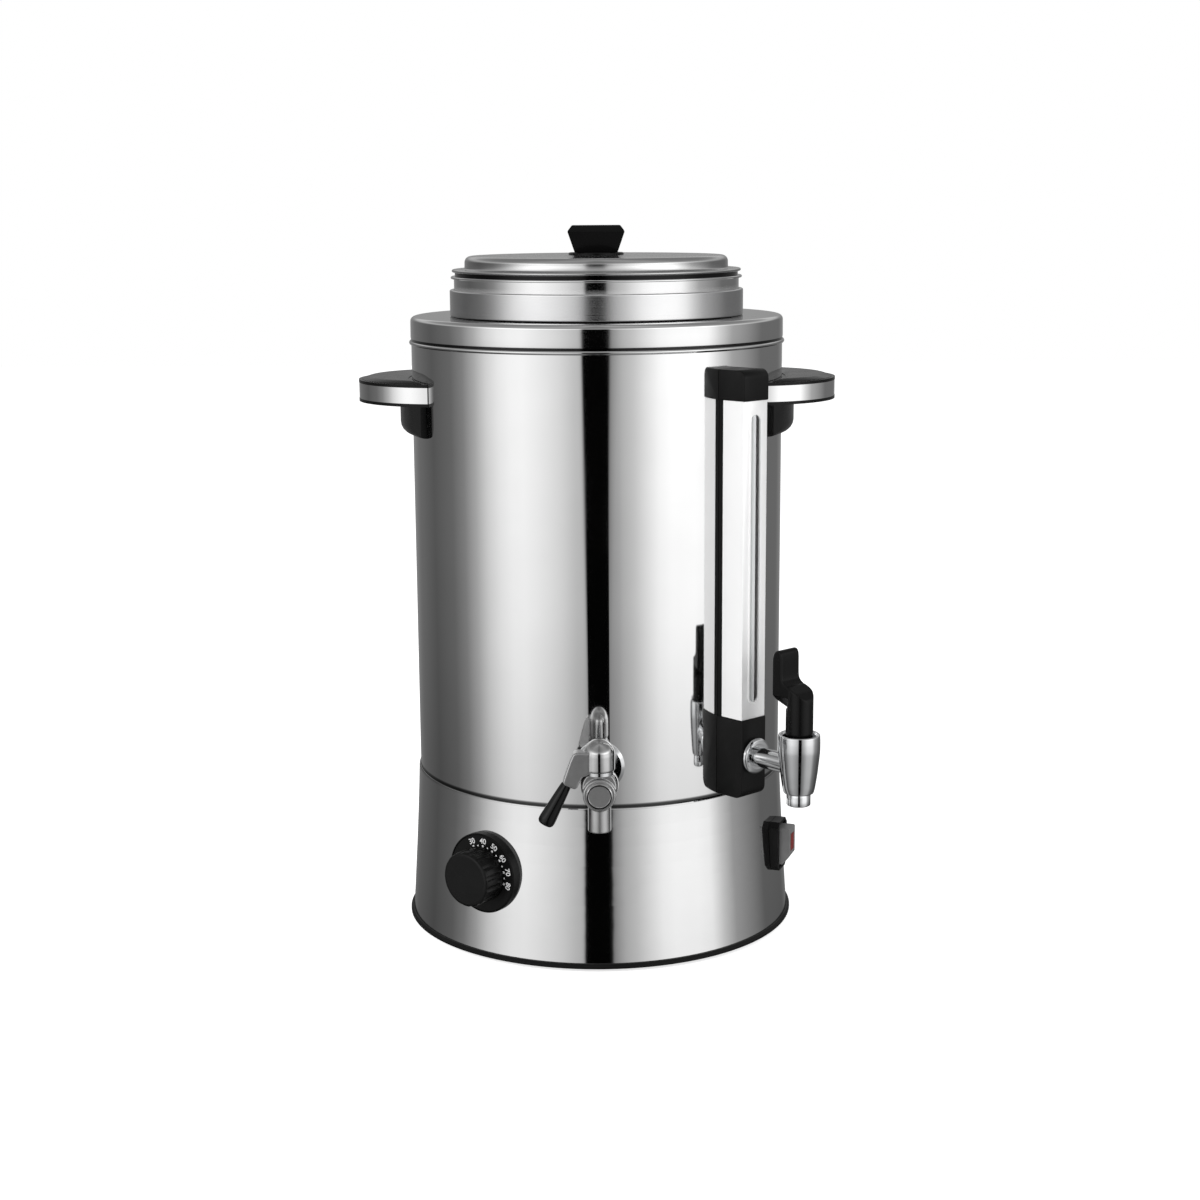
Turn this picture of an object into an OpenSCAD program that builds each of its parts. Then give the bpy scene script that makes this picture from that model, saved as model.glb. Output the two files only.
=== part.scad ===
// Double-wall milk heater: a milk pot standing in a heated water tank, with a
// milk tap at the front, a gauge and a water tap beside it, and a thermostat below.
// The origin is the centre of the footprint on the floor, +Z is up, -Y is the front.

/* [Body] */
// Outer radius of the steel shell
shell_r = 150; // [145:1:160]
// Height of the shell above the skirt seam
shell_h = 350.5; // [335:0.5:380]
// Thickness of the shell, tank and lid sheet
sheet = 1; // [0.8:0.1:1.2]
// Depth of the shell tucked inside the skirt
shell_tuck = 12.5; // [8:0.5:15]
// Height of the pressed top cover
cover_h = 19.5; // [16:0.5:24]
// Radius of the rounded edge of the top cover
cover_edge_r = 6; // [3:0.5:8]
// Height of the rolled hem round the top cover
hem_h = 5; // [4:0.5:7]

/* [Base] */
// Height that the rubber feet hold the trim ring off the floor
foot_clear = 3; // [2:0.5:5]
// Diameter of a rubber foot
foot_d = 26; // [20:1:30]
// Distance from the shell's surface in to the middle of a foot
foot_inset = 26; // [25:1:50]
// Number of feet
foot_count = 4; // [3:1:6]
// Height of the black trim ring
ring_h = 7; // [6:0.5:10]
// Distance that the trim ring stands out past the skirt's foot
ring_lip = 2.7; // [2.2:0.1:6]
// Height of the skirt above the trim ring
skirt_h = 120.5; // [115:0.5:130]
// Distance that the skirt flares out from the shell to its foot
skirt_flare = 8.3; // [7:0.1:8.5]
// Thickness of the skirt sheet
skirt_sheet = 1.2; // [1:0.1:1.5]
// Thickness of the bottom plate
plate_t = 1.2; // [1:0.1:2]
// Diameter of a vent hole in the bottom plate
vent_d = 9; // [6:0.5:12]
// Number of vent holes
vent_count = 12; // [8:1:16]

/* [Milk pot] */
// Outer radius of the pot and its neck
pot_r = 114.75; // [112:0.25:114.75]
// Thickness of the pot sheet
pot_wall = 1.2; // [1:0.1:1.5]
// Height of the pot rim above the top cover
neck_h = 31.5; // [29:0.5:36]
// Gap between the tank floor and the pot floor
under_pot_gap = 21; // [20:0.5:24]
// Radius of the corner at the pot floor
pot_corner_r = 8; // [5:0.5:8]
// Height of the collar round the neck
collar_h = 21; // [18:0.5:22]
// Distance from the neck out to the collar's surface
collar_offset = 3.55; // [3.5:0.05:4.5]
// Distance that the rolled pot rim stands out from the neck
rim_roll = 2.5; // [2:0.1:2.5]

/* [Tank] */
// Distance between the tank and the shell
jacket_space = 6; // [6:0.5:8]
// Distance from the top of the shell down to the tank's flange
tank_drop = 12; // [12:0.5:30]
// Thickness of the air gap on each side of the insulation
insulation_gap = 0.3; // [0.2:0.1:0.5]
// Diameter of the heating element tube
element_d = 8.5; // [7:0.5:10]
// Distance from the tank wall in to the heating element loop
element_inset = 58; // [43:1:70]

/* [Lid] */
// Width of the flat flange round the lid's dome
lid_flange_w = 11.4; // [11:0.2:17]
// Height of the raised dome of the lid
dome_h = 11.5; // [9:0.5:14]
// Radius of the dome's rounded shoulder
dome_edge_r = 10; // [6:0.5:10]
// Distance that the lid flange stands out from the neck
lid_overhang = 2.25; // [2:0.05:4]
// Depth of the lid wall that drops inside the neck
lid_plug_h = 10; // [6:0.5:16]
// Diameter of the disc under the lid knob
knob_disc_d = 44.4; // [42:0.2:50]
// Width of the lid knob at its widest
knob_w = 45.9; // [42:0.1:50]
// Width of the lid knob at its foot
knob_foot_w = 34.6; // [30:0.1:40]
// Height of the lid knob
knob_h = 21.5; // [18:0.5:26]
// Depth of the lid knob from front to back
knob_d = 22; // [18:0.5:26]

/* [Handles] */
// Height of the handle's lower lip above the floor
handle_z = 433; // [400:0.5:438]
// Radius of the handle's half-moon outline
handle_r = 72.5; // [68:0.5:76]
// Distance from the shell's surface in to the outline's centre
handle_inset = 29; // [24:0.5:31]
// Height of the bright band round the handle
band_h = 12.5; // [10:0.5:16]
// Height of the lip above and below the band
handle_lip = 2.5; // [2:0.5:4]
// Height of the raised cap on the handle
handle_cap_h = 2.5; // [2:0.5:6]
// Depth of the apron below the handle
apron_h = 25; // [23:0.5:34]
// Thickness of the apron
apron_t = 10; // [8:0.5:11]
// Diameter of the bolts that hold the handles
bolt_d = 6; // [5:0.5:6]

/* [Gauge] */
// Direction of the gauge and the water tap, in degrees from the front
gauge_az = 43; // [40:0.5:46]
// Height of the gauge's lower block above the floor
gauge_z = 136; // [136:0.5:140]
// Height of the lower block
block_h = 59.5; // [56:0.5:62]
// Height of the slotted steel cover
cover_len = 246.5; // [230:0.5:250]
// Height of the top cap
cap_h = 23; // [22:0.5:28]
// Width of the cap and the lower block
block_w = 27; // [26.5:0.5:29]
// Depth of the block from the shell's surface
block_depth = 26.5; // [25:0.5:29]
// Width of the slotted steel cover
gauge_cover_w = 26; // [23:0.5:26]
// Width of the slot
slot_w = 9; // [8:0.5:11]
// Distance from each end of the steel cover to the slot
slot_margin = 13.5; // [10:0.5:20]
// Outer diameter of the glass tube
glass_d = 8; // [6:0.5:8]
// Height of the pipe that feeds the gauge and the water tap
gauge_pipe_z = 166; // [164.5:0.5:168]

/* [Water tap] */
// Distance of the barrel's axis from the shell
water_tap_reach = 74; // [70:0.5:82]
// Height of the barrel's mouth above the floor
barrel_top_z = 192; // [190.5:0.5:194.5]
// Largest diameter of the barrel
barrel_d = 31.6; // [31:0.2:33]
// Diameter of the barrel's open mouth
barrel_bore_d = 26; // [25.8:0.1:26.2]
// Length of the barrel
barrel_len = 46.5; // [45.5:0.5:48]
// Depth of the barrel's open mouth
mouth_depth = 21; // [20.5:0.1:21.5]
// Diameter of the pipe to the barrel
tap_pipe_d = 15.7; // [14:0.1:17]
// Diameter of the round flange on the block
tap_flange_d = 28.7; // [24:0.1:29]
// Diameter of the nozzle
nozzle_d = 18.4; // [16:0.2:18.6]
// Bore of the nozzle
nozzle_bore_d = 12; // [10:0.5:12]
// Length of the nozzle below the barrel
nozzle_len = 9.5; // [8:0.5:14]
// Diameter of the lever's round root
lever_root_d = 20.6; // [19:0.2:21]
// Height of the lever above the barrel's mouth
lever_h = 68; // [64:0.5:74]
// Distance that the lever's paddle leans towards the body
lever_lean = 14.5; // [11:0.5:15.5]
// Thickness of the lever's paddle
lever_t = 9; // [8:0.5:10]
// Width of the lever's paddle
lever_w = 17; // [15:0.5:18]

/* [Milk tap] */
// Distance of the tap's upright axis from the shell
milk_tap_reach = 49; // [46:0.5:52]
// Height of the ball-shaped body above the floor
milk_tap_z = 161; // [158:0.5:164]
// Diameter of the ball-shaped body
ball_d = 29; // [28:0.5:30]
// Diameter of the flange on the shell
milk_flange_d = 39; // [34:0.5:42]
// Diameter of the tap's tail pipe
tail_d = 16; // [15:0.2:16]
// Diameter of the front cap
front_cap_d = 19.7; // [18:0.1:20]
// Diameter of the spout
spout_d = 17.4; // [15:0.2:18]
// Bore of the spout
spout_bore_d = 11; // [9:0.5:11]
// Length of the spout below the ball's centre
spout_len = 33.5; // [28:0.5:36]
// Diameter of the turning plug inside the body
plug_d = 15; // [14:0.5:16]
// Diameter of the gland and the lever's hub
hub_d = 21.8; // [21:0.2:23]
// Length of the black grip sleeve
sleeve_len = 35; // [30:0.5:40]

/* [Controls] */
// Height of the dial and the switch above the floor
control_z = 71; // [68:0.5:76]
// Direction of the dial, in degrees from the front
dial_az = -36; // [-42:0.5:-30]
// Diameter of the dial plate
dial_plate_d = 66.8; // [60:0.2:70]
// Distance that the dial plate stands off the skirt
dial_plate_t = 4; // [3:0.5:5]
// Diameter of the dial knob
dial_knob_d = 41.4; // [38:0.2:44]
// Depth of the dial knob
dial_knob_h = 20; // [18:0.5:24]
// Number of grip flutes round the dial knob
flute_count = 16; // [12:1:20]
// Direction of the switch, in degrees from the front
switch_az = 69; // [66:0.5:80]
// Height of the switch frame
switch_h = 41; // [40:0.5:44]
// Width of the switch frame
switch_w = 27; // [25:0.5:30]
// Distance that the switch frame stands off the skirt
switch_t = 6.5; // [5:0.5:7]
// Diameter of the cable gland's bore
gland_bore_d = 9; // [7:0.5:10]
// Height of the cable gland above the floor
gland_z = 42; // [36:0.5:50]

/* [Fits] */
// Radial gap of a turning fit
running_fit = 0.05; // [0.03:0.01:0.08]
// Gap between a fixed piece and the curved sheet behind it
seat_gap = 0.2; // [0.1:0.05:0.3]
// Gap between a moving piece and what it turns beside
move_gap = 0.4; // [0.3:0.05:0.6]

/* [Hidden] */
$fn = 96;

// Levels from the floor upwards
ring_top = foot_clear + ring_h;
ledge_t = 3;
ledge_top = foot_clear + ledge_t;
skirt_top = ring_top + skirt_h;
shell_bottom = skirt_top - shell_tuck;
shell_top = skirt_top + shell_h;
cover_top = shell_top + cover_h;
collar_top = cover_top + collar_h;
rim_top = cover_top + neck_h;
tank_bottom = shell_bottom + sheet;
tank_top = shell_top - tank_drop;
tank_h = tank_top - tank_bottom;
pot_bottom = tank_bottom + sheet + under_pot_gap;

// Radii, from the shell's surface or the neck's
shell_in_r = shell_r - sheet;
skirt_foot_r = shell_r + skirt_flare;
ring_r = skirt_foot_r + ring_lip;
foot_circle_r = shell_r - foot_inset;
tank_r = shell_in_r - jacket_space;
element_loop_r = tank_r - element_inset;
handle_centre = shell_r - handle_inset;
tap_r = shell_r + water_tap_reach;
milk_tap_r = shell_r + milk_tap_reach;
collar_r = pot_r + collar_offset;
rim_r = pot_r + rim_roll;
lid_flange_r = pot_r + lid_overhang;
dome_r = lid_flange_r - lid_flange_w;
skirt_top_r = shell_r + seat_gap + skirt_sheet;
shell_seat_in_r = shell_r - 9;
pot_in_r = pot_r - pot_wall;
neck_hole_r = pot_r + seat_gap;

// Outer radius of the skirt at a height: it flares more and more towards its foot
flare_power = 1.25;
flare_h = skirt_top - ledge_top;
function skirt_r_at(z) = skirt_top_r
    + (skirt_foot_r - skirt_top_r) * pow(max(0, skirt_top - z) / flare_h, flare_power);

// Points along an arc in a revolve's outline, from angle a0 to a1
function arc_points(cx, cy, r, a0, a1, steps = 5) =
    [for (i = [0:steps]) let (a = a0 + (a1 - a0) * i / steps) [cx + r * cos(a), cy + r * sin(a)]];

skirt_steps = 8;
function skirt_line(inset) = [for (i = [0:skirt_steps])
    let (z = ledge_top + flare_h * i / skirt_steps) [skirt_r_at(z) - inset, z]];

// The skirt's outer face, with its top edge turned in to the shell
edge_round = 2.5;
function skirt_face() = concat([for (i = [0:skirt_steps - 1]) skirt_line(0)[i]],
    [for (a = [0:15:90]) [skirt_top_r - (skirt_sheet - 0.2) * (1 - cos(a)),
        skirt_top - edge_round * (1 - sin(a))]]);
function reversed(list) = [for (i = [len(list) - 1:-1:0]) list[i]];

// Turns a piece built at the front to its direction round the body
module facing(az) rotate([0, 0, az]) children();

// A rod that points away from the body's axis, from radius r0 to radius r1
module radial_rod(r0, r1, z, d) translate([0, -r0, z]) rotate([90, 0, 0]) cylinder(d = d, h = r1 - r0);

// Places children on a radial axis, with their +Z pointing away from the body
module on_radial(r, z) translate([0, -r, z]) rotate([90, 0, 0]) children();

// A rod that lies across, with its middle on the radial line
module cross_rod(r, z, d, w) translate([-w / 2, -r, z]) rotate([0, 90, 0]) cylinder(d = d, h = w);

// The solid that the shell and the skirt fill, grown by a gap
core_fn = 480;
module shell_core(gap) translate([0, 0, ring_top])
    cylinder(r = shell_r + gap, h = cover_top - ring_top, $fn = core_fn);
module skirt_core(gap) rotate_extrude($fn = core_fn)
    polygon(concat([[0, ledge_top]], skirt_line(-gap), [[0, skirt_top]]));

// A block with flat sides, seen from the front: width, radii and heights
module radial_block(w, r0, r1, z0, z1) translate([-w / 2, -r1, z0]) cube([w, r1 - r0, z1 - z0]);

// Trim ring
ring_fit_r = skirt_foot_r + seat_gap;
ring_top_r = ring_fit_r + 1;
ring_in_r = foot_circle_r + foot_d / 2 + 2;

module base_ring() color("#1b1b1b") rotate_extrude() polygon([
    [ring_in_r, foot_clear], [ring_r, foot_clear], [ring_r, foot_clear + 1.2],
    [ring_top_r + 0.6, ring_top - 1], [ring_top_r, ring_top], [ring_fit_r, ring_top],
    [ring_fit_r, ledge_top], [ring_in_r, ledge_top]]);

// Feet, with a recess for the screw head
foot_recess_d = 12;
foot_recess_h = 3;
foot_hole_d = 5;
foot_screw_d = 4.6;
screw_head_h = 2.6;

module at_feet() for (i = [0:foot_count - 1]) rotate([0, 0, 45 + 360 * i / foot_count])
    translate([foot_circle_r, 0, 0]) children();

module rubber_foot() difference() {
    rotate_extrude() polygon([[0, 0], [foot_d / 2 - 2, 0], [foot_d / 2, 2],
        [foot_d / 2 - 1, ledge_top], [0, ledge_top]]);
    translate([0, 0, -1]) cylinder(d = foot_recess_d, h = foot_recess_h + 1);
    cylinder(d = foot_hole_d, h = ledge_top + 1);
}

module rubber_feet() color("#202020") at_feet() rubber_foot();

// Foot screws: a pan head below, and a hex nut above the bottom plate
foot_nut_d = 9;
foot_nut_h = 3.6;

module foot_screws() color("silver") at_feet() {
    translate([0, 0, foot_recess_h - screw_head_h]) cylinder(d = foot_recess_d - 2, h = screw_head_h);
    translate([0, 0, foot_recess_h - 1]) cylinder(d = foot_screw_d, h = plate_t + ledge_t + foot_clear + 3);
    translate([0, 0, ledge_top + plate_t]) cylinder(d = foot_nut_d, h = foot_nut_h, $fn = 6);
}

// Bottom plate with vents, resting on the trim ring's ledge
plate_flange_h = 8;
plate_r = skirt_r_at(ledge_top + plate_flange_h) - skirt_sheet - seat_gap;
vent_circle_r = foot_circle_r / 2;

module bottom_plate() color("#b8b8b8") difference() {
    rotate_extrude() polygon([[0, ledge_top], [plate_r, ledge_top], [plate_r, ledge_top + plate_flange_h],
        [plate_r - plate_t, ledge_top + plate_flange_h], [plate_r - plate_t, ledge_top + plate_t],
        [0, ledge_top + plate_t]]);
    at_feet() cylinder(d = foot_hole_d, h = ledge_top + 5);
    for (i = [0:vent_count - 1]) rotate([0, 0, 360 * i / vent_count])
        translate([vent_circle_r, 0, ledge_top - 1]) cylinder(d = vent_d, h = plate_t + 2);
}

// Skirt: a flared sheet with an inner bead that the shell stands on
dial_hole_d = 14;
switch_cut_w = switch_w - 6;
switch_cut_h = switch_h - 5;
gland_hole_d = gland_bore_d + 5;
seat_bead_h = 3;
thermostat_screw_d = 4;
thermostat_screw_span = 28;

module at_thermostat_screws() for (side = [-1, 1])
    translate([side * thermostat_screw_span / 2, 0, 0]) children();

// A hole through the skirt along a radial line
module skirt_hole(z, d) radial_rod(skirt_top_r - 12, skirt_foot_r + 2, z, d);

module base_skirt() color("#c9c9c9") difference() {
    rotate_extrude() union() {
        polygon(concat(skirt_face(), reversed(skirt_line(skirt_sheet))));
        polygon([[shell_seat_in_r, shell_bottom - seat_bead_h], [shell_r, shell_bottom - seat_bead_h],
            [shell_r + seat_gap + skirt_sheet / 2, shell_bottom - seat_bead_h],
            [shell_r + seat_gap + skirt_sheet / 2, shell_bottom], [shell_seat_in_r, shell_bottom]]);
    }
    facing(dial_az) {
        skirt_hole(control_z, dial_hole_d);
        at_thermostat_screws() skirt_hole(control_z, thermostat_screw_d + 0.4);
    }
    facing(switch_az) radial_block(switch_cut_w, skirt_top_r - 12, skirt_foot_r + 2,
        control_z - switch_cut_h / 2, control_z + switch_cut_h / 2);
    facing(180) skirt_hole(gland_z, gland_hole_d);
}

// Shell: a tube with an inward flange at its foot
bolt_hole_d = bolt_d + 0.5;
handle_bolt_az = 18;
apron_bottom = handle_z - apron_h;
bolt_z = handle_z - apron_h / 2;
cap_bolt_drop = 7.5;
gauge_bolt_z = gauge_z + block_h + cover_len + cap_h - cap_bolt_drop;
gauge_pipe_d = 14;
tube_d = 22;

module at_handle_bolts() for (side = [-1, 1]) for (turn = [-1, 1])
    facing(side * 90 + turn * handle_bolt_az) children();

module outer_shell() color("#cfcfcf") difference() {
    rotate_extrude() polygon([[shell_seat_in_r, shell_bottom], [shell_r, shell_bottom], [shell_r, shell_top],
        [shell_in_r, shell_top], [shell_in_r, shell_bottom + sheet],
        [shell_seat_in_r, shell_bottom + sheet]]);
    at_handle_bolts() radial_rod(shell_in_r - 2, shell_r + 2, bolt_z, bolt_hole_d);
    facing(gauge_az) radial_rod(shell_in_r - 2, shell_r + 2, gauge_bolt_z, bolt_hole_d);
    facing(gauge_az) radial_rod(shell_in_r - 2, shell_r + 2, gauge_pipe_z, gauge_pipe_d + 0.4);
    radial_rod(shell_in_r - 2, shell_r + 2, milk_tail_z, tail_d + 0.4);
}

// Water tank: a floor, a wall and an outward flange below the cover
tank_in_r = tank_r - sheet;
element_leg_az = 8;
element_hole_d = element_d + 2;

module at_element_legs() for (side = [-1, 1]) facing(180 + side * element_leg_az)
    translate([0, -element_loop_r, 0]) children();

module water_tank() color("#bdbdbd") difference() {
    rotate_extrude() polygon([[0, tank_bottom], [tank_r, tank_bottom], [tank_r, tank_top - sheet],
        [shell_in_r - insulation_gap, tank_top - sheet], [shell_in_r - insulation_gap, tank_top],
        [tank_in_r, tank_top], [tank_in_r, tank_bottom + sheet], [0, tank_bottom + sheet]]);
    at_element_legs() translate([0, 0, tank_bottom - 1]) cylinder(d = element_hole_d, h = sheet + 2);
    facing(gauge_az) radial_rod(tank_in_r - 2, tank_r + 2, gauge_pipe_z, gauge_pipe_d + 0.2);
    radial_rod(tank_in_r - 2, tank_r + 2, milk_tail_z, tube_d + 0.2);
}

// Insulation between the tank and the shell, with pockets for pipes and bolt heads
bolt_head_d = 10;
insulation_margin = 2;

module insulation_jacket() color("#d8c89a") difference() {
    translate([0, 0, tank_bottom + insulation_margin])
        cylinder(r = shell_in_r - insulation_gap, h = tank_h - sheet - 2 * insulation_margin);
    translate([0, 0, tank_bottom]) cylinder(r = tank_r + insulation_gap, h = tank_h);
    at_handle_bolts() radial_rod(tank_r - 2, shell_r, bolt_z, bolt_head_d + 3);
    facing(gauge_az) radial_rod(tank_r - 2, shell_r, gauge_bolt_z, bolt_head_d + 3);
    facing(gauge_az) radial_rod(tank_r - 2, shell_r, gauge_pipe_z, gauge_pipe_d + 2);
    radial_rod(tank_r - 2, shell_r, milk_tail_z, tube_d + 2);
}

// Heating element: a loop under the pot, with two legs through the tank floor
element_z = tank_bottom + sheet + under_pot_gap / 2;
element_leg_drop = 16;
element_nut_h = 5;
seal_t = 2;
element_collar_h = element_z - element_d / 2 - tank_bottom - sheet - seal_t;

module heating_element() color("#8c8c8c") {
    rotate([0, 0, element_leg_az + 90]) rotate_extrude(angle = 360 - 2 * element_leg_az)
        translate([element_loop_r, element_z]) circle(d = element_d);
    at_element_legs() {
        translate([0, 0, tank_bottom - element_leg_drop])
            cylinder(d = element_d, h = element_z - tank_bottom + element_leg_drop);
        translate([0, 0, element_z]) sphere(d = element_d + 0.4);
        translate([0, 0, tank_bottom + sheet + seal_t])
            cylinder(d = element_hole_d + 4, h = element_collar_h);
    }
}

module element_seals() color("#a03020") at_element_legs() difference() {
    translate([0, 0, tank_bottom + sheet]) cylinder(d = element_hole_d + 6, h = seal_t);
    translate([0, 0, tank_bottom]) cylinder(d = element_d + 0.4, h = seal_t + 3);
}

module element_nuts() color("#c9a227") at_element_legs() difference() {
    translate([0, 0, tank_bottom - element_nut_h])
        cylinder(d = element_hole_d + 8, h = element_nut_h, $fn = 6);
    translate([0, 0, tank_bottom - element_nut_h - 1]) cylinder(d = element_d + 0.2, h = element_nut_h + 2);
}

// Thermostat behind the dial: body, fixing plate and bush
shaft_d = 6;
skirt_in_at_dial = skirt_r_at(control_z) - skirt_sheet;
thermostat_plate_w = 40;
thermostat_face_r = sqrt(pow(skirt_in_at_dial, 2) - pow(thermostat_plate_w / 2, 2)) - 1.2;
thermostat_plate_t = 2;
thermostat_back_r = thermostat_face_r - thermostat_plate_t;
thermostat_w = 34;
thermostat_h = 30;
thermostat_depth = 28;
bush_d = 11;

module thermostat_unit() color("#d9d2c0") facing(dial_az) difference() {
    union() {
        radial_block(thermostat_plate_w, thermostat_back_r, thermostat_face_r, control_z - 8, control_z + 8);
        radial_block(thermostat_w, thermostat_back_r - thermostat_depth, thermostat_back_r,
            control_z - thermostat_h / 2, control_z + thermostat_h / 2);
        radial_rod(thermostat_face_r - 1, dial_plate_r - 1, control_z, bush_d);
    }
    radial_rod(thermostat_face_r - 12, dial_plate_r + 2, control_z, shaft_d + 2 * running_fit);
    at_thermostat_screws()
        radial_rod(thermostat_face_r - 8, thermostat_face_r + 1, control_z, thermostat_screw_d + 0.2);
}

// Bulb and capillary: the bulb lies under the tank floor
bulb_d = 6;
bulb_len = 60;
capillary_d = 2.4;
bulb_z = tank_bottom - bulb_d / 2 - seat_gap;
capillary_r = thermostat_back_r - thermostat_depth / 2;
bulb_r = capillary_r - bulb_len / 2;

module thermostat_bulb() color("#b87333") facing(dial_az) {
    translate([-bulb_len / 2, -bulb_r, bulb_z]) rotate([0, 90, 0]) cylinder(d = bulb_d, h = bulb_len);
    radial_rod(bulb_r, capillary_r, bulb_z, capillary_d);
    translate([0, -capillary_r, bulb_z]) sphere(d = capillary_d + 0.2);
    translate([0, -capillary_r, control_z + thermostat_h / 2])
        cylinder(d = capillary_d, h = bulb_z - control_z - thermostat_h / 2);
}

// Dial plate: its back follows the flared skirt, its face is raised at the rim
dial_plate_r = skirt_r_at(control_z) + dial_plate_t;
dial_rim_w = 1.6;
dial_rim_h = 0.8;
dial_screw_head_d = 7;
dial_screw_head_h = 2.4;

module dial_plate() color("#161616") facing(dial_az) difference() {
    on_radial(skirt_top_r - 12, control_z) {
        base = dial_plate_r - skirt_top_r + 12;
        rotate_extrude() polygon([[0, 0], [dial_plate_d / 2, 0], [dial_plate_d / 2, base],
            [dial_plate_d / 2 - dial_rim_w / 2, base + dial_rim_h],
            [dial_plate_d / 2 - dial_rim_w, base], [0, base]]);
    }
    skirt_core(seat_gap);
    radial_rod(skirt_top_r - 14, dial_plate_r + 2, control_z, bush_d + 0.4);
    at_thermostat_screws() {
        radial_rod(skirt_top_r - 14, dial_plate_r + 2, control_z, thermostat_screw_d + 0.4);
        radial_rod(dial_plate_r - dial_screw_head_h - 0.2, dial_plate_r + 2, control_z,
            dial_screw_head_d + 0.4);
    }
}

module thermostat_screws() color("silver") facing(dial_az) at_thermostat_screws() {
    radial_rod(thermostat_face_r - 6, dial_plate_r - 1, control_z, thermostat_screw_d);
    radial_rod(dial_plate_r - dial_screw_head_h, dial_plate_r - 0.2, control_z, dial_screw_head_d);
}

// Dial shaft and knob, which turn together
knob_back_r = dial_plate_r + dial_rim_h + move_gap;
knob_front_r = knob_back_r + dial_knob_h;
shaft_tip_r = knob_front_r - 6;

module dial_shaft() color("silver") facing(dial_az)
    radial_rod(thermostat_face_r - 10, shaft_tip_r, control_z, shaft_d);

module dial_knob() color("#141414") facing(dial_az) on_radial(knob_back_r, control_z) difference() {
    rotate_extrude() polygon(concat([[shaft_d / 2 + 0.1, 0], [dial_knob_d / 2, 0]],
        arc_points(dial_knob_d / 2 - 3, dial_knob_h - 3, 3, 0, 90),
        [[0, dial_knob_h], [0, dial_knob_h - 5.6], [shaft_d / 2 + 0.1, dial_knob_h - 5.6]]));
    for (i = [0:flute_count - 1]) rotate([0, 0, 360 * (i + 0.5) / flute_count])
        translate([dial_knob_d / 2 + 2.6, 0, 3]) cylinder(d = 7, h = dial_knob_h);
}

// Rocker switch: frame with a pocket, the rocker and its red window
switch_skirt_r = skirt_r_at(control_z);
switch_face_r = switch_skirt_r + switch_t;
switch_chamfer = 5;
pocket_w = switch_w - 10;
pocket_h = switch_h - 4.5;
pivot_r = switch_face_r - 7;
rocker_w = pocket_w - 2 * move_gap;
rocker_h = pocket_h - 5.8;
rocker_pin_d = 4;
rocker_out = 15.5;
lens_t = 1;
lens_w = 9;
lens_h = 14;
frame_body_w = switch_cut_w - 2 * seat_gap;
frame_body_h = switch_cut_h - 2 * seat_gap;

module chamfered_plate(w, h, chamfer, thickness) linear_extrude(height = thickness) polygon([
    for (corner = [[-1, -1], [1, -1], [1, 1], [-1, 1]]) let (first = corner.x * corner.y > 0)
        for (step = first ? [0, 1] : [1, 0])
            [corner.x * (w / 2 - chamfer * step), corner.y * (h / 2 - chamfer * (1 - step))]]);

module switch_frame() color("#101010") facing(switch_az) difference() {
    union() {
        difference() {
            on_radial(skirt_top_r - 8, control_z)
                chamfered_plate(switch_w, switch_h, switch_chamfer, switch_face_r - skirt_top_r + 8);
            skirt_core(seat_gap);
        }
        radial_block(frame_body_w, pivot_r - 20, switch_skirt_r + 2,
            control_z - frame_body_h / 2, control_z + frame_body_h / 2);
    }
    radial_block(pocket_w, pivot_r - 13, switch_face_r + 2,
        control_z - pocket_h / 2, control_z + pocket_h / 2);
    cross_rod(pivot_r, control_z, rocker_pin_d + 2 * running_fit, pocket_w + 2.6);
}

// Side view of the rocker, as distance outwards from the pivot and height
module rocker_outline() polygon([[-6, -8], [2, -rocker_h / 2], [9.5, -rocker_h / 2],
    [rocker_out, -rocker_h / 2 + 8.5], [rocker_out, rocker_h / 2 - 0.8], [rocker_out - 0.8, rocker_h / 2],
    [2, rocker_h / 2], [-6, 8]]);

module switch_rocker() color("#7d7d7d") facing(switch_az) difference() {
    union() {
        translate([-rocker_w / 2, -pivot_r, control_z]) rotate([90, 0, -90]) mirror([0, 0, 1])
            linear_extrude(height = rocker_w) rocker_outline();
        cross_rod(pivot_r, control_z, rocker_pin_d, pocket_w + 2);
    }
    lens_seat(seat_gap / 2);
}

lens_rise = 3;
module lens_seat(gap) radial_block(lens_w + 2 * gap,
    pivot_r + rocker_out - lens_t - gap, pivot_r + rocker_out + 10 * gap,
    control_z + lens_rise - lens_h / 2 - gap, control_z + lens_rise + lens_h / 2 + gap);

module switch_lens() color("#c0201a") facing(switch_az) lens_seat(0);

// Cable gland at the back, with a nut inside the skirt
gland_r = skirt_r_at(gland_z);

module cable_gland() color("#151515") facing(180) difference() {
    union() {
        difference() {
            radial_rod(gland_r - 4, gland_r + 4, gland_z, gland_hole_d + 10);
            skirt_core(seat_gap);
        }
        radial_rod(gland_r - 14, gland_r + 4, gland_z, gland_hole_d - 0.4);
        radial_rod(gland_r + 3, gland_r + 12, gland_z, gland_hole_d + 2);
        on_radial(gland_r - 14, gland_z) cylinder(d = gland_hole_d + 9, h = 6, $fn = 6);
    }
    radial_rod(gland_r - 16, gland_r + 14, gland_z, gland_bore_d);
}

// Top cover: a pressed dish whose hem hangs over the shell
hem_r = shell_r + 1.45;
cover_r = shell_r + 0.5;
cover_wall = 1.2;
hem_drop = 3;
hem_z = shell_top - hem_drop;

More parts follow.
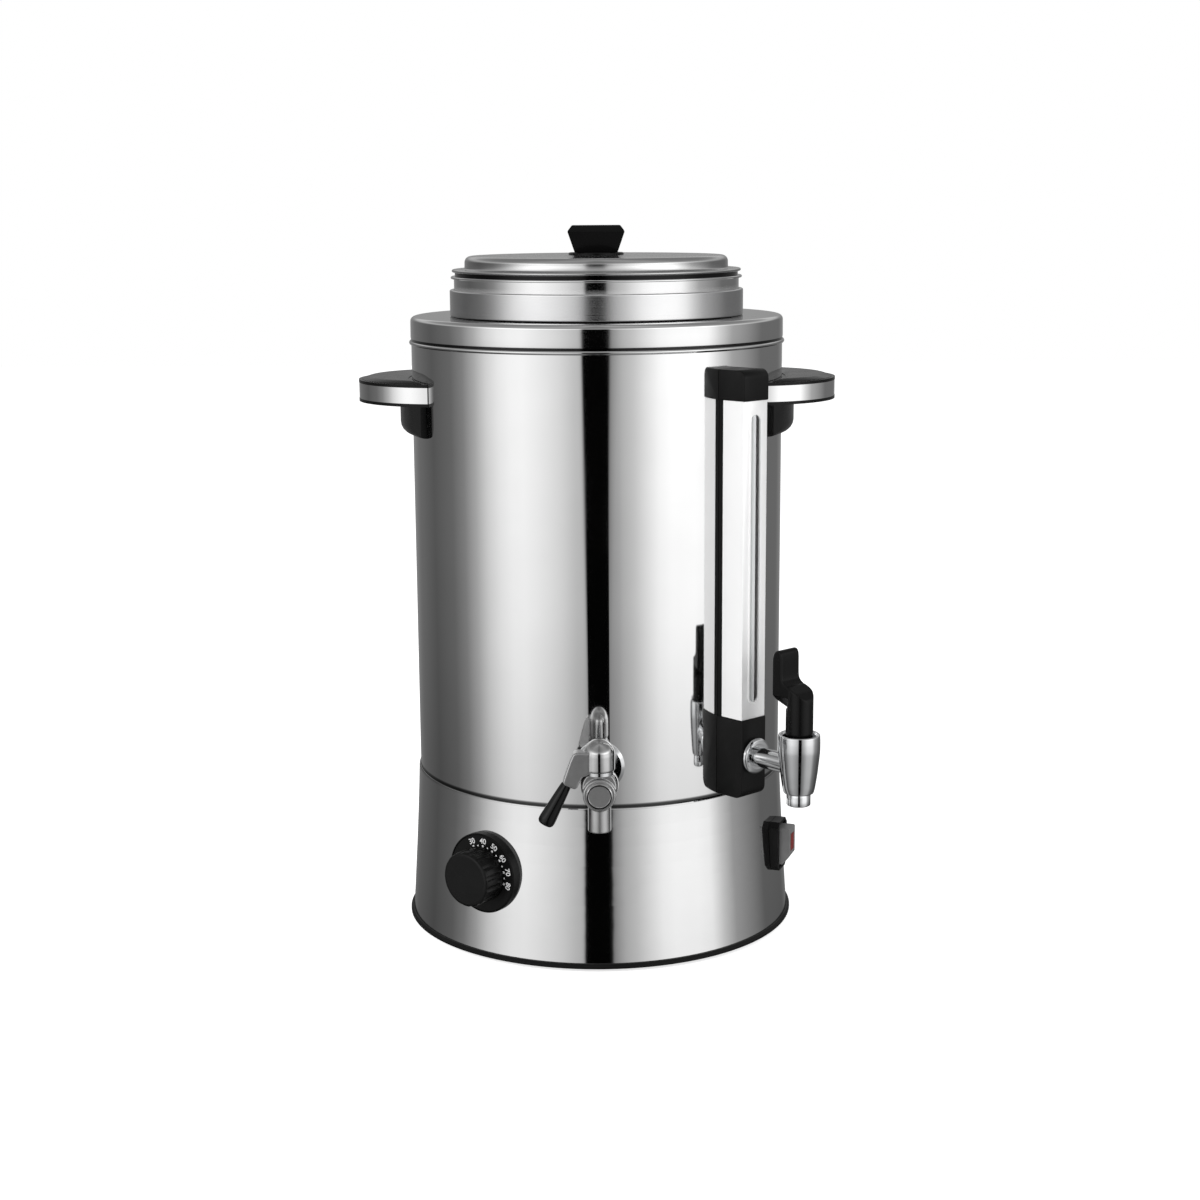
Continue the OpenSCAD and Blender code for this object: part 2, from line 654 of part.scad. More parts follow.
module top_cover() color("#d2d2d2") rotate_extrude() polygon(concat(
    [[shell_r + seat_gap, hem_z], [hem_r - 0.3, hem_z], [hem_r, hem_z + 0.5],
     [hem_r, hem_z + hem_h - 0.8], [cover_r, hem_z + hem_h]],
    arc_points(cover_r - cover_edge_r, cover_top - cover_edge_r, cover_edge_r, 0, 90),
    [[neck_hole_r, cover_top], [neck_hole_r, cover_top - cover_wall]],
    arc_points(cover_r - cover_edge_r, cover_top - cover_edge_r, cover_edge_r - cover_wall, 90, 0),
    [[cover_r - cover_wall, shell_top], [shell_r + seat_gap, shell_top]]));

// Collar round the neck: rolled in at the foot and at the top
collar_wall = 1;
collar_in_r = collar_r - collar_wall;
collar_foot_in_r = pot_r + 1.9;

module neck_collar() color("#d6d6d6") rotate_extrude() polygon(concat(
    [[collar_foot_in_r, cover_top]],
    arc_points(collar_r - 1.4, cover_top + 1.4, 1.4, -90, 0),
    arc_points(collar_r - 1.2, collar_top - 1.2, 1.2, 0, 90),
    [[pot_r + 0.4, collar_top], [pot_r + 0.4, collar_top - collar_wall],
     [collar_in_r - 0.6, collar_top - collar_wall], [collar_in_r, collar_top - collar_wall - 0.6],
     [collar_in_r, cover_top + 1.6], [collar_foot_in_r, cover_top + 1]]));

// Milk pot: rounded floor, seat bead on the cover and rolled rim
pot_seat_r = pot_r + 1.5;
pot_seat_h = 3;
rim_h = 1.8;

module milk_pot() color("#c4c4c4") difference() {
    rotate_extrude() polygon(concat(
        [[0, pot_bottom]],
        arc_points(pot_r - pot_corner_r, pot_bottom + pot_corner_r, pot_corner_r, -90, 0),
        [[pot_r, cover_top], [pot_seat_r, cover_top], [pot_seat_r, cover_top + pot_seat_h - 1],
         [pot_r, cover_top + pot_seat_h], [pot_r, rim_top - rim_h], [rim_r - 0.4, rim_top - rim_h],
         [rim_r, rim_top - rim_h + 0.5], [rim_r, rim_top - 0.5], [rim_r - 0.5, rim_top], [pot_in_r, rim_top]],
        arc_points(pot_r - pot_corner_r, pot_bottom + pot_corner_r, pot_corner_r - pot_wall, 0, -90),
        [[0, pot_bottom + pot_wall]]));
    radial_rod(pot_in_r - 4, pot_r + 2, milk_tail_z, tube_d - 3 + 0.2);
}

// Lid: a ledge on the rim, a flange above it and a low dome
lid_z = rim_top;
ledge_h = 1.4;
recess_h = 1.6;
flange_t = 1.2;
flange_top = lid_z + ledge_h + recess_h + flange_t;
dome_base = flange_top + 1;
dome_top = dome_base + dome_h;
lid_plug_r = pot_in_r - 0.65;
lid_ledge_r = rim_r - 1.25;
recess_r = lid_flange_r - 2.4;
lid_sheet = 1.2;
dome_lean = 2;
lid_screw_d = 5;

module lid_shell() color("#cacaca") difference() {
    rotate_extrude() polygon(concat(
        [[0, dome_top]],
        reversed(arc_points(dome_r - dome_lean - dome_edge_r, dome_top - dome_edge_r, dome_edge_r, 0, 90)),
        [[dome_r, dome_base], [dome_r + 0.8, flange_top], [lid_flange_r - 0.6, flange_top],
         [lid_flange_r, flange_top - 0.5], [lid_flange_r, flange_top - flange_t],
         [recess_r, flange_top - flange_t], [recess_r, lid_z + ledge_h], [lid_ledge_r, lid_z + ledge_h],
         [lid_ledge_r, lid_z], [lid_plug_r, lid_z], [lid_plug_r, lid_z - lid_plug_h],
         [lid_plug_r - lid_sheet, lid_z - lid_plug_h], [lid_plug_r - lid_sheet, flange_top - lid_sheet],
         [dome_r - lid_sheet, flange_top - lid_sheet + 0.3], [dome_r - lid_sheet, dome_base]],
        arc_points(dome_r - dome_lean - dome_edge_r, dome_top - dome_edge_r, dome_edge_r - lid_sheet, 0, 90),
        [[0, dome_top - lid_sheet]]));
    translate([0, 0, dome_top - 4]) cylinder(d = lid_screw_d + 0.4, h = 8);
}

knob_disc_t = 1.6;
knob_foot_z = dome_top + knob_disc_t;

module lid_knob_disc() color("#161616") translate([0, 0, dome_top]) difference() {
    rotate_extrude() polygon([[0, 0], [knob_disc_d / 2, 0], [knob_disc_d / 2, knob_disc_t - 0.6],
        [knob_disc_d / 2 - 0.8, knob_disc_t], [0, knob_disc_t]]);
    translate([0, 0, -1]) cylinder(d = lid_screw_d + 0.4, h = knob_disc_t + 2);
}

// Lid knob: a bar that widens upwards, with its upper edges cut back
knob_top_w = 38.8;
knob_wide_z = knob_h - 5;
knob_chamfer = 3.5;
knob_screw_depth = 12;

// Right half of an outline, closed by its mirror image across the height axis
function both_halves(half) = concat(half, reversed([for (point = half) [-point.x, point.y]]));

module knob_front_outline() polygon(both_halves([[knob_foot_w / 2, 0], [knob_w / 2, knob_wide_z],
    [knob_w / 2 - 0.8, knob_wide_z + 1.4], [knob_top_w / 2, knob_h]]));

module knob_side_outline() polygon(both_halves([[knob_d / 2 - knob_chamfer, 0], [knob_d / 2, knob_wide_z],
    [knob_d / 2 - knob_chamfer, knob_h]]));

module lid_knob() color("#101010") translate([0, 0, knob_foot_z]) difference() {
    intersection() {
        translate([0, knob_d / 2, 0]) rotate([90, 0, 0]) linear_extrude(height = knob_d) knob_front_outline();
        translate([-knob_w / 2, 0, 0]) rotate([90, 0, 90])
            linear_extrude(height = knob_w) knob_side_outline();
    }
    translate([0, 0, -1]) cylinder(d = lid_screw_d + 0.2, h = knob_screw_depth + 1);
}

module lid_screw() color("silver") {
    translate([0, 0, dome_top - lid_sheet - 3]) cylinder(d = 11, h = 3);
    translate([0, 0, dome_top - lid_sheet - 1])
        cylinder(d = lid_screw_d, h = lid_sheet + knob_disc_t + knob_screw_depth);
}

// Handles: a half-moon plate with a deep rim, on an apron that hugs the shell
handle_seat_r = shell_r + seat_gap;
rim_t = 3.9;
band_t = 1.9;
band_z = handle_z + handle_lip;
handle_top = band_z + band_h + handle_lip;
plate_depth = 3.5;
apron_out_r = shell_r + apron_t;
apron_angle = 27;
apron_round = 9;
rib_t = 2.5;
rib_y = 48;
rib_len = 20;

module at_handle(side) rotate([0, 0, side > 0 ? 90 : -90]) children();

module half_moon(r, z0, z1) translate([0, -handle_centre, z0]) cylinder(r = r, h = z1 - z0);

module apron_sector() rotate([0, 0, -90 - apron_angle]) rotate_extrude(angle = 2 * apron_angle)
    polygon(concat([[shell_r - 2, apron_bottom]],
        arc_points(apron_out_r - apron_round, apron_bottom + apron_round, apron_round, -90, 0),
        [[apron_out_r, handle_top - 1], [shell_r - 2, handle_top - 1]]));

module handle(side) at_handle(side) difference() {
    union() {
        difference() {
            union() {
                half_moon(handle_r, handle_z, handle_z + handle_lip);
                half_moon(handle_r - band_t - 0.1, handle_z, handle_top);
                half_moon(handle_r, handle_top - handle_lip, handle_top);
            }
            half_moon(handle_r - band_t - rim_t, handle_z - 1, handle_top - plate_depth);
        }
        intersection() {
            apron_sector();
            union() {
                half_moon(handle_r, apron_bottom - 1, band_z);
                half_moon(handle_r - band_t - 0.1, apron_bottom, handle_top);
            }
        }
        for (turn = [-1, 1]) intersection() {
            translate([turn * rib_y, 0, 0])
                radial_block(rib_t, shell_r - rib_len, apron_out_r + rib_len, handle_z, handle_top - 1);
            half_moon(handle_r - band_t - 1, handle_z, handle_top);
        }
    }
    cylinder(r = handle_seat_r, h = cover_top);
    for (turn = [-1, 1]) facing(turn * handle_bolt_az)
        radial_rod(shell_r - 2, shell_r + bolt_depth, bolt_z, bolt_d + 0.2);
}

module left_handle() color("#141414") handle(-1);
module right_handle() color("#141414") handle(1);

module handle_band(side) at_handle(side) difference() {
    half_moon(handle_r - 0.2, band_z, band_z + band_h);
    half_moon(handle_r - band_t, band_z - 1, band_z + band_h + 1);
    cylinder(r = handle_seat_r + 0.3, h = cover_top);
}

module left_handle_band() color("#d8d8d8") handle_band(-1);
module right_handle_band() color("#d8d8d8") handle_band(1);

cap_inset = 6;
cap_slope = 1.5;
handle_cap_r = handle_r - cap_inset;

module handle_cap(side) at_handle(side) difference() {
    translate([0, -handle_centre, handle_top]) rotate_extrude() polygon([[0, 0], [handle_cap_r, 0],
        [handle_cap_r, handle_cap_h - cap_slope], [handle_cap_r - cap_slope, handle_cap_h],
        [0, handle_cap_h]]);
    translate([0, 0, handle_top - 1]) cylinder(r = shell_r + cap_inset, h = handle_cap_h + 2);
}

module left_handle_cap() color("#0e0e0e") handle_cap(-1);
module right_handle_cap() color("#0e0e0e") handle_cap(1);

// Bolts from inside the shell: two a handle and one for the gauge's top cap
bolt_depth = 8;
bolt_head_h = 3.5;

module shell_bolt(z) {
    radial_rod(shell_in_r - seat_gap - bolt_head_h, shell_in_r - seat_gap, z, bolt_head_d);
    radial_rod(shell_in_r - 1, shell_r + bolt_depth - 1, z, bolt_d);
}

module shell_bolts() color("silver") {
    at_handle_bolts() shell_bolt(bolt_z);
    facing(gauge_az) shell_bolt(gauge_bolt_z);
}

// Gauge: everything stands between the lower block and the top cap
gauge_in_r = shell_r + seat_gap;
block_out_r = shell_r + block_depth;
strip_out_r = shell_r + 4;
cover_z0 = gauge_z + block_h;
cover_z1 = cover_z0 + cover_len;
cap_top = cover_z1 + cap_h;
glass_r = block_out_r - 10;
glass_bore_d = 5;
seal_d = 13;
seal_h = 10;
block_round = 9;
cap_round = 7;
glass_socket = 12;
glass_z0 = cover_z0 - glass_socket + 1;
glass_z1 = cover_z1 + glass_socket - 1;
gauge_wall = 1;

module gauge_lower_block() color("#171717") facing(gauge_az) difference() {
    translate([-block_w / 2, 0, 0]) rotate([90, 0, 90]) linear_extrude(height = block_w) polygon(concat(
        [[-shell_r + 3, gauge_z], [-shell_r + 3, cover_z0], [-block_out_r, cover_z0]],
        arc_points(-block_out_r + block_round, gauge_z + block_round, block_round, 180, 270)));
    shell_core(seat_gap);
    radial_rod(shell_r - 4, shell_r + 12, gauge_pipe_z, gauge_pipe_d + 0.2);
    radial_rod(shell_r + 8, block_out_r + 2, gauge_pipe_z, glass_bore_d + 3);
    translate([0, -glass_r, gauge_pipe_z]) cylinder(d = glass_bore_d, h = cover_z0 - gauge_pipe_z);
    translate([0, -glass_r, cover_z0 - glass_socket]) cylinder(d = seal_d + 0.2, h = glass_socket + 1);
}

module gauge_top_cap() color("#171717") facing(gauge_az) difference() {
    translate([-block_w / 2, 0, 0]) rotate([90, 0, 90]) linear_extrude(height = block_w) polygon(concat(
        [[-shell_r + 3, cover_z1], [-shell_r + 3, cap_top - 3]],
        arc_points(-block_out_r + cap_round, cap_top - cap_round, cap_round, 90, 180),
        [[-block_out_r, cover_z1]]));
    shell_core(seat_gap);
    radial_rod(shell_r - 4, shell_r + bolt_depth, gauge_bolt_z, bolt_d + 0.2);
    translate([0, -glass_r, cover_z1 - 1]) cylinder(d = seal_d + 0.2, h = glass_socket + 1);
}

// Slotted steel cover with a pressed border round the slot
border_w = 2;
border_h = 0.8;
cover_out_r = block_out_r - 1;
slot_z0 = cover_z0 + slot_margin;
slot_z1 = cover_z1 - slot_margin;

module slot_shape(w, r0, r1) {
    radial_block(w, r0, r1, slot_z0 + slot_w / 2, slot_z1 - slot_w / 2);
    for (z = [slot_z0 + slot_w / 2, slot_z1 - slot_w / 2]) radial_rod(r0, r1, z, w);
}

module gauge_cover() color("#e2e2e2") facing(gauge_az) difference() {
    union() {
        difference() {
            radial_block(gauge_cover_w, strip_out_r, cover_out_r, cover_z0, cover_z1);
            radial_block(gauge_cover_w - 2 * gauge_wall, strip_out_r - 1, cover_out_r - gauge_wall,
                cover_z0 - 1, cover_z1 + 1);
        }
        slot_shape(slot_w + 2 * border_w, cover_out_r - gauge_wall, cover_out_r + border_h);
    }
    slot_shape(slot_w, cover_out_r - gauge_wall - 1, cover_out_r + border_h + 1);
}

module gauge_back_strip() color("#181818") facing(gauge_az) difference() {
    radial_block(gauge_cover_w - 0.6, shell_r - 3, strip_out_r, cover_z0, cover_z1);
    shell_core(seat_gap);
}

module gauge_glass() color("#dfeff2") facing(gauge_az) translate([0, -glass_r, glass_z0]) difference() {
    cylinder(d = glass_d, h = glass_z1 - glass_z0);
    translate([0, 0, -1]) cylinder(d = glass_bore_d, h = glass_z1 - glass_z0 + 2);
}

module gauge_seals() color("#7a2a20") facing(gauge_az) for (z = [glass_z0, glass_z1 - seal_h])
    translate([0, -glass_r, z]) difference() {
        cylinder(d = seal_d, h = seal_h);
        translate([0, 0, -1]) cylinder(d = glass_d + 0.2, h = seal_h + 2);
    }

module gauge_inlet_pipe() color("#b9b9b9") facing(gauge_az) difference() {
    union() {
        radial_rod(tank_in_r - 6, shell_r + 10, gauge_pipe_z, gauge_pipe_d);
        radial_rod(tank_in_r - 6, tank_in_r - 1, gauge_pipe_z, gauge_pipe_d + 6);
    }
    radial_rod(tank_in_r - 8, shell_r + 14, gauge_pipe_z, glass_bore_d + 3);
}

// Water tap: flange, pipe, barrel and nozzle
tap_flange_t = 5;
pin_z = barrel_top_z - 4.5;
lever_pin_d = 4;
root_ball_d = 18;
chamber_d = 19;
barrel_foot_z = barrel_top_z - barrel_len;
chamber_z0 = barrel_foot_z + 3;
divider_z = barrel_top_z - mouth_depth;
divider_t = 2.5;
stem_d = 4;

// Barrel outline: how far the wall stands in from its widest, and how far below the mouth
barrel_steps = [[5.4, barrel_len], [4.4, barrel_len - 1.6], [2.9, 41], [2, 35.5], [1.2, 29.5],
    [0.6, 23.5], [0.2, 17.5], [0, 12], [0, 5.5], [0.4, 1.8], [1.2, 0]];

module water_tap_flange() color("#d0d0d0") facing(gauge_az) difference() {
    on_radial(block_out_r, gauge_pipe_z) rotate_extrude() polygon(concat([[0, 0], [tap_flange_d / 2 - 2, 0],
        [tap_flange_d / 2, 2]], arc_points(tap_flange_d / 2 - 3, tap_flange_t - 3, 3, 0, 60),
        [[tap_pipe_d / 2 + 1.5, tap_flange_t], [0, tap_flange_t]]));
    radial_rod(block_out_r - 1, block_out_r + tap_flange_t + 1, gauge_pipe_z, tap_pipe_d + 0.2);
}

module water_tap_body() color("#d4d4d4") facing(gauge_az) difference() {
    union() {
        translate([0, -tap_r, barrel_top_z]) rotate_extrude() polygon(concat([[0, -barrel_len]],
            [for (step = barrel_steps) [barrel_d / 2 - step[0], -step[1]]], [[0, 0]]));
        radial_rod(block_out_r, tap_r - barrel_bore_d / 2, gauge_pipe_z, tap_pipe_d);
    }
    translate([0, -tap_r, divider_z + divider_t]) cylinder(d = barrel_bore_d, h = barrel_top_z);
    translate([0, -tap_r, chamber_z0]) cylinder(d = chamber_d, h = divider_z - chamber_z0);
    translate([0, -tap_r, divider_z - 1]) cylinder(d = stem_d + 2 * running_fit, h = divider_t + 2);
    translate([0, -tap_r, barrel_foot_z - 1]) cylinder(d = nozzle_bore_d + 2.2, h = 10);
    radial_rod(block_out_r - 1, tap_r - 2, gauge_pipe_z, glass_bore_d + 3);
    cross_rod(tap_r, pin_z, lever_pin_d + 0.1, barrel_d + 4);
}

// The nozzle's spigot stands in the barrel and makes the valve seat
spigot_h = 4;
nozzle_z0 = barrel_foot_z - nozzle_len;

module water_tap_nozzle() color("#cfcfcf") facing(gauge_az) translate([0, -tap_r, 0]) difference() {
    rotate_extrude() polygon([[0, nozzle_z0], [nozzle_d / 2 - 1, nozzle_z0], [nozzle_d / 2, nozzle_z0 + 1.2],
        [nozzle_d / 2, barrel_foot_z], [nozzle_bore_d / 2 + 1, barrel_foot_z],
        [nozzle_bore_d / 2 + 1, barrel_foot_z + spigot_h], [0, barrel_foot_z + spigot_h]]);
    translate([0, 0, nozzle_z0 - 1]) cylinder(d = nozzle_bore_d, h = nozzle_len + spigot_h + 2);
}

// Lever: a ball root on the pin, a round neck and an S-bend to the paddle
lever_top_z = barrel_top_z + lever_h;
neck_top_z = barrel_top_z + 19;
paddle_in = -lever_lean - lever_t / 2;
paddle_out = -lever_lean + lever_t / 2;
root_r = lever_root_d / 2;
bend_in_z = neck_top_z + 13;
bend_out_z = neck_top_z + 24;
tip_round = 4;

module lever_side() polygon(concat(
    [[-root_r, pin_z], [-root_r, neck_top_z], [-root_r - 0.8, neck_top_z + 3]],
    arc_points(paddle_in + 5, bend_in_z + 1, 5, 215, 180, 3),
    arc_points(paddle_in + tip_round, lever_top_z - tip_round, tip_round, 180, 90, 4),
    arc_points(paddle_out - tip_round + 0.6, lever_top_z - tip_round, tip_round, 90, 0, 4),
    arc_points(paddle_out + 5, bend_out_z, 4, 180, 225, 3),
    arc_points(root_r - 5, neck_top_z + 11.5, 5, 45, 0, 3),
    [[root_r, pin_z]]));

module lever_front() polygon(both_halves(concat(
    [[root_r, pin_z], [root_r, neck_top_z + 4], [root_r - 0.7, neck_top_z + 10],
     [lever_w / 2, neck_top_z + 17]],
    arc_points(lever_w / 2 - 5, lever_top_z - 5, 5, 0, 80, 4))));

module water_lever() color("#101010") facing(gauge_az) difference() {
    translate([0, -tap_r, 0]) union() {
        intersection() {
            translate([-root_r - 1, 0, 0]) rotate([90, 0, 90]) mirror([1, 0, 0])
                linear_extrude(height = lever_root_d + 2) lever_side();
            translate([0, 2 * lever_root_d, 0]) rotate([90, 0, 0])
                linear_extrude(height = 4 * lever_root_d) lever_front();
            union() {
                translate([0, 0, pin_z + 4]) cylinder(d = lever_root_d, h = neck_top_z - pin_z - 3);
                translate([-lever_root_d, -lever_root_d, neck_top_z])
                    cube([2 * lever_root_d, 3 * lever_root_d, lever_h]);
            }
        }
        translate([0, 0, pin_z]) sphere(d = root_ball_d);
    }
    cross_rod(tap_r, pin_z, lever_pin_d + 2 * running_fit, barrel_d + 4);
    radial_block(stem_d + 1.6, tap_r - root_r, tap_r + root_r, pin_z - root_ball_d, pin_z - 1);
}

module lever_pin() color("silver") facing(gauge_az) cross_rod(tap_r, pin_z, lever_pin_d, barrel_d - 1.2);

// Plunger, its silicone cup on the seat and its return spring
seat_z = barrel_foot_z + spigot_h;
cup_h = 8;
cup_d = 15;
plunger_top = pin_z - 6.5;
plunger_collar_h = 1.5;

module water_plunger() color("#c8c8c8") facing(gauge_az) translate([0, -tap_r, 0]) {
    translate([0, 0, seat_z + 3]) cylinder(d = stem_d, h = plunger_top - seat_z - 3);
    translate([0, 0, seat_z + cup_h + 0.1]) cylinder(d = 10, h = plunger_collar_h);
}

module seat_cup() color("#e9e4da") facing(gauge_az) translate([0, -tap_r, seat_z + 0.05]) difference() {
    rotate_extrude() polygon([[0, 0], [cup_d / 2 - 1.5, 0], [cup_d / 2, 1.5], [cup_d / 2 - 2, cup_h],
        [0, cup_h]]);
    translate([0, 0, 2.9]) cylinder(d = stem_d + 0.1, h = cup_h);
}

// Helical spring, swept round the stem by formula
spring_wire_d = 1;
spring_mean_r = 4;
spring_turns = 4;
spring_z0 = seat_z + cup_h + 0.1 + plunger_collar_h + spring_wire_d / 2 + 0.1;
spring_z1 = divider_z - spring_wire_d / 2 - 0.1;
spring_steps = 72;
wire_sides = 8;

function spring_point(i, j) = let (
    turn = 360 * spring_turns * i / spring_steps,
    around = 360 * j / wire_sides,
    reach = spring_mean_r + spring_wire_d / 2 * cos(around),
    rise = spring_z0 + (spring_z1 - spring_z0) * i / spring_steps + spring_wire_d / 2 * sin(around))
    [reach * cos(turn), reach * sin(turn), rise];

module plunger_spring() color("#b0b0b0") facing(gauge_az) translate([0, -tap_r, 0]) polyhedron(
    points = [for (i = [0:spring_steps]) for (j = [0:wire_sides - 1]) spring_point(i, j)],
    faces = concat([[for (j = [0:wire_sides - 1]) j]],
        [for (i = [0:spring_steps - 1]) for (j = [0:wire_sides - 1]) let (k = (j + 1) % wire_sides)
            [i * wire_sides + j, (i + 1) * wire_sides + j, (i + 1) * wire_sides + k, i * wire_sides + k]],
        [[for (j = [wire_sides - 1:-1:0]) spring_steps * wire_sides + j]]));

// Milk tap: tube from the pot, flange, ball body with spout, plug and lever
milk_tail_rise = 3;
milk_tail_z = milk_tap_z + milk_tail_rise;
tail_in_r = tank_r - 18;
milk_flange_r = shell_r + 4;
milk_flange_h = 8;
plug_z0 = milk_tap_z - 9;
ball_rise = 2;
neck_angle = 38;
body_neck_z = milk_tap_z + ball_rise + ball_d / 2 * sin(neck_angle);
boss_d = 24.8;
boss_face_d = front_cap_d + 3.6;
tail_bore_d = 9;
spout_z0 = milk_tap_z - spout_len;
front_cap_z = milk_tap_z - 3.5;
front_cap_r = milk_tap_r + 13.4;
front_cap_t = 2.8;

module milk_tap_tube() color("#bcbcbc") difference() {
    union() {
        radial_rod(pot_in_r - 1.5, pot_r + 3, milk_tail_z, tube_d - 3);
        radial_rod(pot_r + 1.2, shell_in_r - 0.8, milk_tail_z, tube_d);
    }
    radial_rod(tail_in_r - 0.3, shell_r, milk_tail_z, tail_d + 0.2);
    radial_rod(pot_in_r - 3, shell_r, milk_tail_z, tail_d - 2);
}

module milk_tap_flange() color("#cfcfcf") difference() {
    on_radial(shell_r - 4, milk_tail_z) rotate_extrude() polygon([[0, 0], [milk_flange_d / 2, 0],
        [milk_flange_d / 2, milk_flange_h - 2], [milk_flange_d / 2 - 2.5, milk_flange_h],
        [0, milk_flange_h]]);
    shell_core(seat_gap);
    radial_rod(shell_r - 6, milk_flange_r + 2, milk_tail_z, tail_d + 0.2);
}

module milk_tap_body() color("#d6d6d6") difference() {
    union() {
        translate([0, -milk_tap_r, milk_tap_z + ball_rise]) intersection() {
            sphere(d = ball_d);
            translate([0, 0, -ball_d])
                cylinder(d = 2 * ball_d, h = ball_d + body_neck_z - milk_tap_z - ball_rise);
        }
        on_radial(milk_tap_r, front_cap_z)
            cylinder(d1 = boss_d, d2 = boss_face_d, h = front_cap_r - front_cap_t - milk_tap_r);
        radial_rod(tail_in_r, milk_tap_r - hub_d / 2, milk_tail_z, tail_d);
        radial_rod(milk_tap_r, front_cap_r - front_cap_t, front_cap_z, front_cap_d - 1.2);
        translate([0, -milk_tap_r, spout_z0]) rotate_extrude() polygon([[0, 0], [spout_d / 2 - 0.8, 0],
            [spout_d / 2, 0.8], [spout_d / 2, spout_len - 10], [spout_d / 2 + 2, spout_len], [0, spout_len]]);
    }
    translate([0, -milk_tap_r, plug_z0])
        cylinder(d = plug_d + 2 * running_fit, h = body_neck_z - plug_z0 + 1);
    radial_block(2 * ball_d, front_cap_r - front_cap_t, milk_tap_r + ball_d,
        spout_z0 - 1, milk_tap_z + ball_d);
    translate([0, -milk_tap_r, spout_z0 - 1]) cylinder(d = spout_bore_d, h = plug_z0 - spout_z0 + 2);
    radial_rod(tail_in_r - 1, milk_tap_r - plug_d / 2 + 3, milk_tail_z, tail_bore_d);
}

module milk_tap_cap() color("#a8a8a8") on_radial(front_cap_r - front_cap_t, front_cap_z)
    rotate_extrude() polygon([[0, 0], [front_cap_d / 2, 0], [front_cap_d / 2, front_cap_t - 0.6],
        [front_cap_d / 2 - 0.7, front_cap_t], [front_cap_d / 2 - 1.5, front_cap_t],
        [front_cap_d / 2 - 2, front_cap_t - 0.6], [0, front_cap_t - 0.6]]);

// Gland nut that keeps the plug down
gland_h = 2.6;
plug_stem_d = 8;

module milk_tap_gland() color("#d0d0d0") translate([0, -milk_tap_r, body_neck_z]) difference() {
    cylinder(d = hub_d - 0.4, h = gland_h);
    translate([0, 0, -1]) cylinder(d = plug_stem_d + 2 * running_fit, h = gland_h + 2);
}

// Plug with its elbow passage, shut while the lever points to the left
passage_d = 8;
plug_top = body_neck_z - move_gap;
hub_z = body_neck_z + gland_h + move_gap;
bell_h = 23.2;
bell_steps = 10;

module milk_plug() color("#b4b4b4") translate([0, -milk_tap_r, 0]) difference() {
    union() {
        translate([0, 0, plug_z0 + 0.2]) cylinder(d = plug_d, h = plug_top - plug_z0 - 0.2);
        translate([0, 0, plug_top - 1]) cylinder(d = plug_stem_d, h = hub_z + 7 - plug_top);
    }
    translate([0, 0, plug_z0 - 1]) cylinder(d = passage_d, h = milk_tap_z - plug_z0 + 1);
    translate([0, 0, milk_tap_z]) rotate([0, 90, 0]) cylinder(d = passage_d, h = plug_d);
}

// Lever arm: bell-shaped hub and a cast arm that drops to the grip
arm_t = 12;
sleeve_top_x = -23.4;
sleeve_top_z = milk_tap_z + 4.8;
sleeve_lean = 28.3;
tang_d = 5;
arm_top_z = sleeve_top_z + 24.2;

// Outline of the arm's bell-shaped hub: an upright side and a round top
function bell_points() = [for (i = [0:bell_steps]) let (a = 90 * i / bell_steps)
    [hub_d / 2 * cos(a), bell_h - hub_d / 2 + hub_d / 2 * sin(a)]];

module arm_outline() polygon([[-plug_stem_d / 2 - 2, hub_z + 0.2], [-plug_stem_d / 2 - 2, arm_top_z],
    [-17.5, arm_top_z], [-19.6, arm_top_z - 1.5], [-21.5, arm_top_z - 6], [-26.4, sleeve_top_z + 3.4],
    [-27, sleeve_top_z + 1.4], [-17.8, sleeve_top_z - 3.6], [-16.5, sleeve_top_z - 2.5],
    [-13.8, sleeve_top_z + 4], [-12.6, hub_z - 1.4], [-12.2, hub_z + 0.2]]);

module milk_lever_arm() color("#9c9c9c") translate([0, -milk_tap_r, 0]) difference() {
    union() {
        translate([0, 0, hub_z]) rotate_extrude()
            polygon(concat([[0, 0], [hub_d / 2, 0]], bell_points()));
        translate([0, arm_t / 2, 0]) rotate([90, 0, 0]) linear_extrude(height = arm_t) arm_outline();
        translate([sleeve_top_x, 0, sleeve_top_z]) rotate([0, 180 + sleeve_lean, 0]) translate([0, 0, -2])
            cylinder(d = tang_d, h = 22);
    }
    translate([0, 0, hub_z - 1]) cylinder(d = plug_stem_d + 0.1, h = 8.2);
}

// Black grip: a tapered sleeve over the arm's tang
sleeve_gap = 1.2;

module milk_lever_sleeve() color("#0c0c0c") translate([sleeve_top_x, -milk_tap_r, sleeve_top_z])
    rotate([0, 180 + sleeve_lean, 0]) translate([0, 0, sleeve_gap + 1]) difference() {
        rotate_extrude() polygon([[0, 0], [3.6, 0], [4, 1], [6.3, sleeve_len - 4], [6.2, sleeve_len - 1.4],
            [5, sleeve_len], [0, sleeve_len]]);
        translate([0, 0, -1]) cylinder(d = tang_d + 0.1, h = 20.2);
    }

